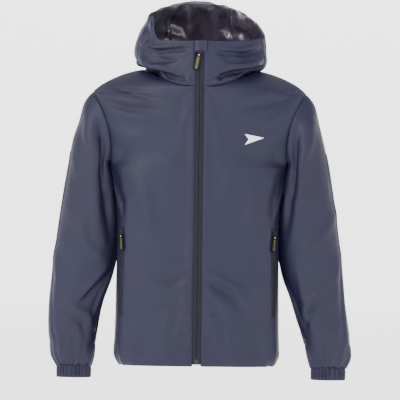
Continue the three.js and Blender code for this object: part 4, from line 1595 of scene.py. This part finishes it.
@dataclass
class Cuff:
    """A gathered cuff: one tube of cloth, folded up inside itself over an elastic band."""

    side: Side
    centre: tuple = (300, -84)
    half: tuple = (40, 26.5)
    top: float = -706
    bottom: float = -736
    pleats: int = 27

    def ring(self, z: np.ndarray, shrink: np.ndarray, depth: np.ndarray, columns: int = 204) -> np.ndarray:
        """Rows of an oval tube whose wall is pleated.

        Args:
            z: the height of each row.
            shrink: how far each row lies inside the oval.
            depth: how deep each row's pleats are.
            columns: points around.

        Returns:
            Rows by columns by xyz.
        """
        turn = np.linspace(0, 2 * math.pi, columns + 1)[:-1] * -self.side.value
        wander = 0.7 * np.sin(3 * turn + 1) + 0.4 * np.sin(7 * turn)
        wave = np.sin(self.pleats * turn + wander * 2)
        sharp = np.sign(wave) * np.abs(wave) ** 0.7
        radius = depth[:, None] * sharp[None, :] - shrink[:, None]
        x = self.centre[0] + (self.half[0] + radius) * np.cos(turn)
        y = self.centre[1] + (self.half[1] + radius) * np.sin(turn)
        x = self.side.value * x + sway(z)[:, None]
        return np.stack([x, y, np.broadcast_to(z[:, None], x.shape)], axis=-1)

    def build(self) -> None:
        """Builds the cloth, its elastic and its row of stitches."""
        t = np.linspace(0, 1, 17)
        outer = self.ring(self.top + (self.bottom + 1.2 - self.top) * t, 0.9 * np.sin(math.pi * t) + 0.2,
                          0.7 + 1.5 * np.sin(math.pi * np.clip(t, 0.05, 0.95)))
        under = self.ring(np.full(2, self.bottom + 0.3), np.array([1.2, 3.0]), np.array([0.5, 0.4]))
        inner = self.ring(self.bottom + 1.2 + 24 * t, np.full(17, 4.4), np.full(17, 0.3))
        grid = np.concatenate([outer, under, inner])
        cloth = cloth_grid(f"cuff_cloth_{self.side.word}", grid, 0.6, SHELL, COATING, closed=True)
        body = f"sleeve_{self.side.word}"
        settle(cloth, body, "shell_fabric", f"cuff_{self.side.word}")
        band = self.ring(np.linspace(self.bottom + 4, self.top - 6, 9), np.full(9, 2.8), np.full(9, 0.25))
        elastic = cloth_grid(f"cuff_elastic_band_{self.side.word}", band, 0.9, ELASTIC, closed=True)
        settle(elastic, body, "elastic", f"cuff_elastic_{self.side.word}")
        lines = [self.ring(np.array([self.top - 3.5]), np.array([-0.35]), np.array([0.9]))[0]]
        name = f"cuff_stitches_{self.side.word}"
        stitches = along_paths(name, NodeTree.STITCHES, lines, THREAD, 0.35, closed=True)
        settle(stitches, body, "shell_fabric")


# ---------------------------------------------------------------- zips


@dataclass
class Zip:
    """A zip in its own frame: its top end at the frame's origin and its foot straight below."""

    name: str
    frame: Frame
    length: float
    half_width: float
    rest_drop: float
    tab_width: float
    tab_length: float
    tilt: float
    halves: tuple

    def tapes(self) -> None:
        """Two woven tapes whose inner edges rise to a bead where they meet."""
        for sign, half in zip((1, -1), self.halves):
            across = np.array([0.35, 0.9, 1.6, 2.6, 3.6, 4.2, 6.0, 8.0, self.half_width])
            bead = np.array([0.55, -0.1, -0.5, -0.45, -0.1, 0.25, 0.3, 0.3, 0.3])
            z = np.linspace(0, -self.length, 120)
            grid = np.stack([np.broadcast_to(sign * across, (120, 9)), np.broadcast_to(bead, (120, 9)),
                             np.broadcast_to(z[:, None], (120, 9))], axis=-1)
            tape = cloth_grid(f"{self.name}_woven_tape_{half}", self.frame.out(grid), 0.5, ZIP_TAPE)
            settle(tape, "jacket", "zip_tape", f"{self.name}_tape_{half}")

    def coils(self, top: float, foot: float) -> None:
        """A coil of monofilament behind the inner edge of each tape.

        Args:
            top: where they start, below the zip's top end.
            foot: where they end.
        """
        pitch, radius = 1.5, 0.95
        for sign, half in zip((1, -1), self.halves):
            turns = np.arange(0, (foot - top) / pitch, 1 / 9)
            path = np.stack([sign * (1.8 + radius * np.cos(2 * math.pi * turns)),
                             1.6 + 0.75 * np.sin(2 * math.pi * turns), -top - pitch * turns], axis=1)
            name = f"{self.name}_coil_turns_{half}"
            coil = along_paths(name, NodeTree.WIRE, [self.frame.out(path)], COIL, 0.33)
            settle(coil, "jacket", "zip_coil", f"{self.name}_coil_{half}")

    def slider(self) -> None:
        """The slider with its bridge, and the link and rubber tab that hang from it."""
        place = Frame(self.frame.out([(0, 0, -self.rest_drop)])[0], self.frame.turn)
        outline = [(-2.6, -7), (2.6, -7), (4.4, -1), (4.6, 4), (2.4, 7), (-2.4, 7), (-4.6, 4), (-4.4, -1)]
        body = f"{self.name}_slider"
        face = plate(f"{self.name}_slider_face", place, outline, (-2.45, -1.3), ENAMEL)
        settle(face, body, "zip_hardware", body)
        rear = plate(f"{self.name}_slider_rear", place, outline, (2.6, 3.8), ENAMEL)
        settle(rear, body, "zip_hardware")
        profile = [(-2.0, 4.4), (-4.2, 3.9), (-5.2, 2.0), (-5.4, -1.5), (-4.6, -4.0), (-2.0, -4.6)]
        arch = [(0, y, z) for y, z in profile]
        bridge = along_paths(f"{self.name}_slider_bridge", NodeTree.WIRE, [place.out(arch)], ENAMEL, 0.95)
        settle(bridge, body, "zip_hardware")
        self.hang(place.tilted(self.tilt))

    def hang(self, place: Frame) -> None:
        """The link and the tab, in the frame that they swing in.

        Args:
            place: the slider's frame, turned to the lie of the tab.
        """
        body = f"{self.name}_puller"
        outline = rounded(7.4, -13.5, 0.7, 2.6)
        loop = along_paths(f"{self.name}_link_wire", NodeTree.WIRE,
                           [place.out([(x, -3.8, z) for x, z in outline])], ENAMEL, 0.6, closed=True)
        settle(loop, body, "zip_hardware", f"{self.name}_puller_link")
        top, foot, y = -6.5, -6.5 - self.tab_length, -4.9
        shape = rounded(self.tab_width, foot, top, 2.6)
        tab = plate(f"{self.name}_tab_rubber", place, shape, (y, y + 2.4), TAB_RUBBER, 0.6)
        settle(tab, body, "puller_tab", f"{self.name}_puller_tab")
        inset_half = self.tab_width * 0.24
        inset = rounded(2 * inset_half, foot + 3.2, top - 10, 1.2)
        olive = plate(f"{self.name}_tab_inset", place, inset, (y - 0.35, y + 0.3), TAB_INSET, 0.2)
        settle(olive, body, "puller_tab")
        for number in range(5):
            z = foot + 6 + number * (self.tab_length - 20) / 4
            slant = [(-inset_half, z - 1.1), (inset_half, z + 0.7), (inset_half, z + 1.8), (-inset_half, z)]
            name = f"{self.name}_tab_rib_{number + 1}"
            rib = plate(name, place, slant, (y - 0.6, y + 0.1), TAB_RUBBER, 0.15)
            settle(rib, body, "puller_tab")
        turns = np.linspace(0, 2 * math.pi, 13)[:-1]
        stud = [(1.3 * math.cos(turn), top - 5.5 + 1.3 * math.sin(turn)) for turn in turns]
        dot = plate(f"{self.name}_tab_stud", place, stud, (y - 0.5, y + 0.3), TAB_DOT, 0.2)
        settle(dot, body, "puller_tab")


def zips(body: BodyCut) -> None:
    """Builds the main zip and the two pocket zips.

    Args:
        body: the body's shape, which says where they run.
    """
    up = body.front_line(50) - body.front_line(-700)
    main = Zip("main_zip", Frame.standing((0, body.front_line(50) + 0.8, 50), (0, -1, 0), (0, up, 750)),
               750, 10.8, 14, 14, 42, 12, ("left", "right"))
    main.tapes()
    main.coils(6, 736)
    main.slider()
    top, foot = body.surface(-378, 0.93), body.surface(-588, 0.93)
    middle = body.surface(-483, 0.93)
    outward = np.cross(body.surface(-482, 0.93) - middle, body.surface(-483, 0.935) - middle)
    outward *= -1 if outward[1] > 0 else 1
    for side in Side:
        mirror = np.array([side.value, 1, 1])
        frame_here = Frame.standing(top * mirror, outward * mirror, (top - foot) * mirror)
        halves = ("rear", "front") if side is Side.LEFT else ("front", "rear")
        tilt = 8 if side is Side.LEFT else -8
        pocket = Zip(f"pocket_{side.word}", frame_here, float(np.linalg.norm(top - foot)), 7.5, 12, 13, 40,
                     tilt, halves)
        pocket.tapes()
        pocket.coils(6, float(np.linalg.norm(top - foot)) - 3)
        pocket.slider()
        slot_outline = rounded(4.6, -205, -2, 2.2)
        cutter = plate("cutter", frame_here, slot_outline, (-25, 25), SHELL, 0.01)
        panel = bpy.data.objects[f"front_panel_{side.word}_cloth"]
        cut = panel.modifiers.new("slot", "BOOLEAN")
        cut.operation = "DIFFERENCE"
        cut.solver = "EXACT"
        cut.object = cutter
        baked(panel)
        bpy.data.objects.remove(cutter)


def garage(body: BodyCut) -> None:
    """The fold of shell cloth that covers the top of the main zip.

    Args:
        body: the body's shape, which says where the zip's top is.
    """
    u, v = np.meshgrid(np.linspace(0, 1, 14), np.linspace(-1, 1, 21), indexing="ij")
    foot = 36 - 6 * np.abs(v + 0.1)
    z = 58.5 + (foot - 58.5) * u
    x = 15 * v + 2
    y = body.front_line(z) - 1.4 - 2.2 * (1 - v**2) - 1.6 * np.exp(-(((v + 0.35) / 0.16) ** 2)) * u
    fold = cloth_grid("zip_garage_cloth", np.stack([x, y, z], axis=-1), 0.8, SHELL)
    settle(fold, "jacket", "shell_fabric", "zip_garage")


# ---------------------------------------------------------------- studio


@dataclass
class Studio:
    """Camera, lights, floor and backdrop."""

    eye: tuple = (0.004, -8.0, -0.315)
    aim: tuple = (0.004, -0.12, -0.315)
    # The point that every light faces.
    lit: tuple = (0, -0.1, -0.35)
    lens: float = 302.0
    roll_degrees: float = 0.7
    floor_z: float = -0.95
    bowl_radius: float = 13.0
    bowl_bend: float = 2.5
    bowl_height: float = 6.0
    bowl_sides: int = 72
    floor_rings: tuple = (0.5, 3.0, 7.0)

    def camera(self) -> None:
        """Places the camera level with the middle of the jacket, straight in front."""
        data = bpy.data.cameras.new("camera")
        data.lens = self.lens
        data.clip_end = 60
        data.sensor_width = 36
        thing = bpy.data.objects.new("camera", data)
        direction = Vector(self.aim) - Vector(self.eye)
        turn = direction.to_track_quat("-Z", "Y").to_matrix().to_4x4()
        roll = Matrix.Rotation(math.radians(self.roll_degrees), 4, "Z")
        thing.matrix_world = Matrix.Translation(self.eye) @ turn @ roll
        bpy.context.collection.objects.link(thing)
        bpy.context.scene.camera = thing

    def light(self, name: str, place: tuple, size: float, watts: float) -> None:
        """Adds a soft area light that faces the jacket.

        Args:
            name: the light's name.
            place: where it is, in metres.
            size: its diameter in metres.
            watts: its power.
        """
        data = bpy.data.lights.new(name, "AREA")
        data.shape = "DISK"
        data.size = size
        data.energy = watts
        thing = bpy.data.objects.new(name, data)
        thing.location = place
        direction = Vector(self.lit) - Vector(place)
        thing.rotation_euler = direction.to_track_quat("-Z", "Y").to_euler()
        bpy.context.collection.objects.link(thing)

    def build(self) -> None:
        """Builds the lights, the round floor with its curved wall, and the sky."""
        self.light("key_light", (-1.7, -2.4, 1.7), 1.2, 105)
        self.light("fill_light", (2.4, -2.4, 0.6), 2.0, 16)
        self.light("top_light", (-0.3, -0.9, 2.4), 0.8, 26)
        turns = np.linspace(0, 2 * math.pi, self.bowl_sides + 1)[:-1]
        profile = [(reach, 0.0) for reach in (*self.floor_rings, self.bowl_radius)]
        for turn in np.linspace(0, math.pi / 2, 9)[1:]:
            reach = self.bowl_radius + self.bowl_bend * math.sin(turn)
            profile.append((reach, self.bowl_bend * (1 - math.cos(turn))))
        profile.append((self.bowl_radius + self.bowl_bend, self.bowl_height))
        around = np.stack([np.cos(turns), np.sin(turns)], axis=1)
        rings = []
        for reach, rise in profile:
            height = np.full((self.bowl_sides, 1), self.floor_z + rise)
            rings.append(np.concatenate([around * reach, height], axis=1) * METRE)
        middle = list(range(self.bowl_sides))[::-1]
        faces = grid_faces(len(profile), self.bowl_sides, closed=True) + [middle]
        points = np.concatenate(rings)
        board = new_object("backdrop", mesh_from("backdrop", points, faces), BOARD)
        world = bpy.data.worlds.new("studio")
        world.use_nodes = True
        world.node_tree.nodes["Background"].inputs["Color"].default_value = (1, 1, 1, 1)
        world.node_tree.nodes["Background"].inputs["Strength"].default_value = 1.15
        bpy.context.scene.world = world


# The panels that make up the hood.
HOODED = (Panel.HOOD_SIDE_LEFT, Panel.HOOD_SIDE_RIGHT, Panel.GUSSET, Panel.CHIN_LEFT, Panel.CHIN_RIGHT)


def shell_panels(shell: Shell) -> None:
    """Splits the draped shell into its panels and hides the CAD node that each stands for.

    Args:
        shell: the draped shell.
    """
    for panel in Panel:
        thing = shell.piece(panel)
        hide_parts(panel.value)


def tie_panels() -> None:
    """Ties the body panels to the jacket once their meshes are final; the hood and sleeve panels only have
    their transforms baked.
    """
    for panel in Panel:
        thing = bpy.data.objects[panel.value + "_cloth"]
        if panel in HOODED:
            hood_blend(thing)
        elif panel in ARMS:
            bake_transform(thing)
        else:
            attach(thing, "jacket")


def folds(shell: Shell) -> None:
    """Raises the main folds along listed routes, over the draped cloth.

    Args:
        shell: the draped shell, which they are added to.
    """
    fronts = shell.points_of(Panel.FRONT_LEFT, Panel.FRONT_RIGHT) & (shell.base[:, 1] < -62)
    arms = shell.points_of(*ARMS) & (shell.base[:, 1] < -62)
    for route, width, height in (
        ([(-236, -40), (-171, -56), (-90, -82)], 9, -5.0),
        ([(-228, -62), (-170, -80), (-104, -84)], 8, 4.0),
        ([(-226, -80), (-166, -98), (-84, -104)], 8, -5.0),
        ([(-220, -98), (-160, -116), (-100, -120)], 11, 4.0),
        ([(-206, -150), (-160, -164), (-110, -160)], 12, 2.5),
        ([(205, -50), (140, -66), (80, -80)], 9, 3.5),
        ([(214, -68), (150, -86), (100, -94)], 8, -4.0),
        ([(210, -96), (176, -120), (150, -124)], 10, 3.0),
        ([(-196, -246), (-178, -322), (-176, -362)], 9, -4.5),
        ([(-148, -286), (-164, -330), (-160, -376)], 11, 3.5),
        ([(-110, -214), (-60, -240), (-30, -236)], 14, 2.5),
        ([(190, -246), (176, -310), (172, -360)], 9, -3.5),
        ([(120, -214), (80, -250), (60, -300)], 16, 2.4),
        ([(21, -496), (82, -538), (113, -580)], 7, -5.5),
        ([(22, -478), (90, -518), (128, -570)], 9, 5.0),
        ([(18, -520), (60, -556), (84, -600)], 9, 3.5),
        ([(-22, -474), (-60, -486), (-95, -478)], 8, 3.8),
        ([(-20, -492), (-55, -508), (-88, -504)], 6, -4.0),
        ([(-20, -512), (-60, -530), (-95, -522)], 8, 3.0),
        ([(-150, -250), (-122, -330), (-108, -420)], 16, 3.4),
        ([(-172, -260), (-150, -340), (-140, -400)], 10, -3.0),
        ([(150, -260), (128, -340), (118, -430)], 16, 3.4),
        ([(-60, -560), (-75, -620), (-82, -680)], 12, 3.0),
        ([(-130, -560), (-120, -620), (-125, -690)], 12, -2.6),
        ([(70, -590), (78, -640), (84, -690)], 12, 3.0),
        ([(130, -600), (142, -650), (150, -695)], 9, -3.0),
    ):
        shell.fold(route, width, height, fronts)
    for number in range(9):
        z = -540 - 15 * number
        shell.fold([(16, z), (38, z - 6)], 5, 2.4 if number % 2 else -2.2, fronts)
        shell.fold([(-16, z - 6), (-38, z - 12)], 5, -2.0 if number % 2 else 2.2, fronts)
    chin = shell.points_of(Panel.CHIN_LEFT, Panel.CHIN_RIGHT, Panel.HOOD_SIDE_LEFT, Panel.HOOD_SIDE_RIGHT)
    chin &= shell.base[:, 1] < -50
    for route, width, height in (
        ([(-150, 62), (-112, 44), (-16, 50)], 6, 5.0),
        ([(-150, 50), (-100, 33), (-24, 40)], 5, -6.0),
        ([(-146, 26), (-118, 2), (-64, -14)], 10, 11.0),
        ([(-142, 6), (-112, -14), (-80, -24), (-40, -34)], 6, -9.0),
        ([(-120, 30), (-80, 12), (-40, 16)], 6, -3.5),
        ([(152, 56), (90, 38), (20, 44)], 6, 4.0),
        ([(150, 42), (110, 28), (40, 32)], 5, -5.0),
        ([(150, 22), (116, 4), (70, -4)], 10, 12.0),
        ([(146, 2), (108, -14), (64, -20), (30, -32)], 6, -9.0),
        ([(-28, -28), (-24, -44)], 5, 4.0),
        ([(42, -26), (36, -44)], 5, 4.0),
        ([(-44, -24), (-40, -40)], 4, -4.0),
        ([(54, -20), (50, -38)], 4, -4.0),
        ([(-134, 104), (-128, 74), (-134, 44)], 7, -5.0),
        ([(-120, 112), (-114, 86), (-118, 60)], 6, 4.0),
    ):
        shell.fold(route, width, height, chin)
    wall = shell.points_of(Panel.GUSSET, Panel.HOOD_SIDE_LEFT, Panel.HOOD_SIDE_RIGHT)
    wall &= shell.base[:, 1] > -40
    for route, width, height in (
        ([(-96, 92), (-50, 84), (-10, 62)], 6, -10.0),
        ([(-98, 72), (-56, 70), (-8, 58)], 5, -8.0),
        ([(-90, 118), (-64, 104), (-40, 78)], 14, 9.0),
        ([(-30, 130), (-22, 100), (-34, 76)], 9, -8.0),
        ([(0, 140), (6, 100), (2, 62)], 16, 8.0),
        ([(30, 96), (66, 74), (132, 84)], 6, -9.0),
        ([(58, 60), (96, 68), (130, 66)], 7, -7.0),
        ([(40, 130), (58, 104), (60, 78)], 9, 6.0),
        ([(96, 128), (104, 104), (128, 92)], 9, -6.0),
    ):
        shell.fold(route, width, height, wall)
    for route, width, height in (
        ([(-236, -130), (-228, -220), (-214, -320), (-206, -420)], 11, -10.0),
        ([(-258, -120), (-250, -220), (-238, -320), (-240, -400)], 13, 5.0),
        ([(236, -130), (228, -220), (214, -320), (206, -400)], 9, -8.0),
        ([(256, -120), (248, -220), (236, -320)], 12, 4.5),
        ([(-268, -90), (-262, -160), (-235, -230)], 13, 3.5),
        ([(-296, -120), (-292, -210), (-262, -290)], 15, 3.0),
        ([(-206, -462), (-245, -505), (-284, -552)], 9, 5.0),
        ([(-214, -488), (-250, -526), (-290, -568)], 8, -6.0),
        ([(-322, -552), (-262, -585), (-246, -622)], 10, 4.5),
        ([(-318, -574), (-276, -602), (-262, -640)], 8, -4.5),
        ([(-338, -430), (-322, -500), (-334, -570)], 12, 4.0),
        ([(-306, -330), (-262, -420), (-222, -452)], 12, 3.5),
        ([(-330, -600), (-318, -650), (-322, -690)], 9, 3.5),
        ([(-285, -620), (-290, -660), (-286, -695)], 8, -3.5),
        ([(268, -90), (264, -170), (236, -240)], 13, 3.5),
        ([(300, -518), (268, -548), (252, -590)], 9, 5.0),
        ([(296, -546), (272, -574), (260, -612)], 8, -5.0),
        ([(240, -470), (258, -560), (280, -640)], 10, 3.5),
        ([(334, -430), (318, -500), (328, -580)], 12, 4.0),
        ([(330, -330), (290, -400), (240, -430)], 12, 3.5),
        ([(334, -600), (322, -650), (326, -690)], 9, 3.5),
        ([(290, -630), (296, -664), (292, -695)], 8, -3.5),
    ):
        shell.fold(route, width, height, arms)


def dress_hardware() -> None:
    """Gives the small zip fittings that the CAD carries their enamel."""
    for name, node in frame["nodes"].items():
        if name.endswith(("_stop", "_stop_left", "_stop_right", "_retainer_box", "_insertion_pin")):
            node.data.materials.clear()
            node.data.materials.append(ENAMEL.material())


def main() -> None:
    """Builds the studio and every piece, in order."""
    logging.basicConfig(level=logging.INFO, format="%(name)s: %(message)s")
    studio = Studio()
    studio.camera()
    studio.build()
    body = BodyCut()
    shell = Shell(body, HoodCut(body), SleeveCut(body))
    shell.build()
    LOG.info("shell: %d points, %d faces", len(shell.points), len(shell.faces))
    shell.drape()
    shell.gather()
    folds(shell)
    shell_panels(shell)
    trim = Trim(shell)
    trim.hem()
    trim.seam_tapes()
    trim.pocket_bags()
    trim.storm_flap()
    trim.hanger()
    trim.emblem()
    trim.stitching()
    for side in Side:
        Cuff(side).build()
    zips(body)
    garage(body)
    tie_panels()
    dress_hardware()


if __name__ == "__main__":
    main()
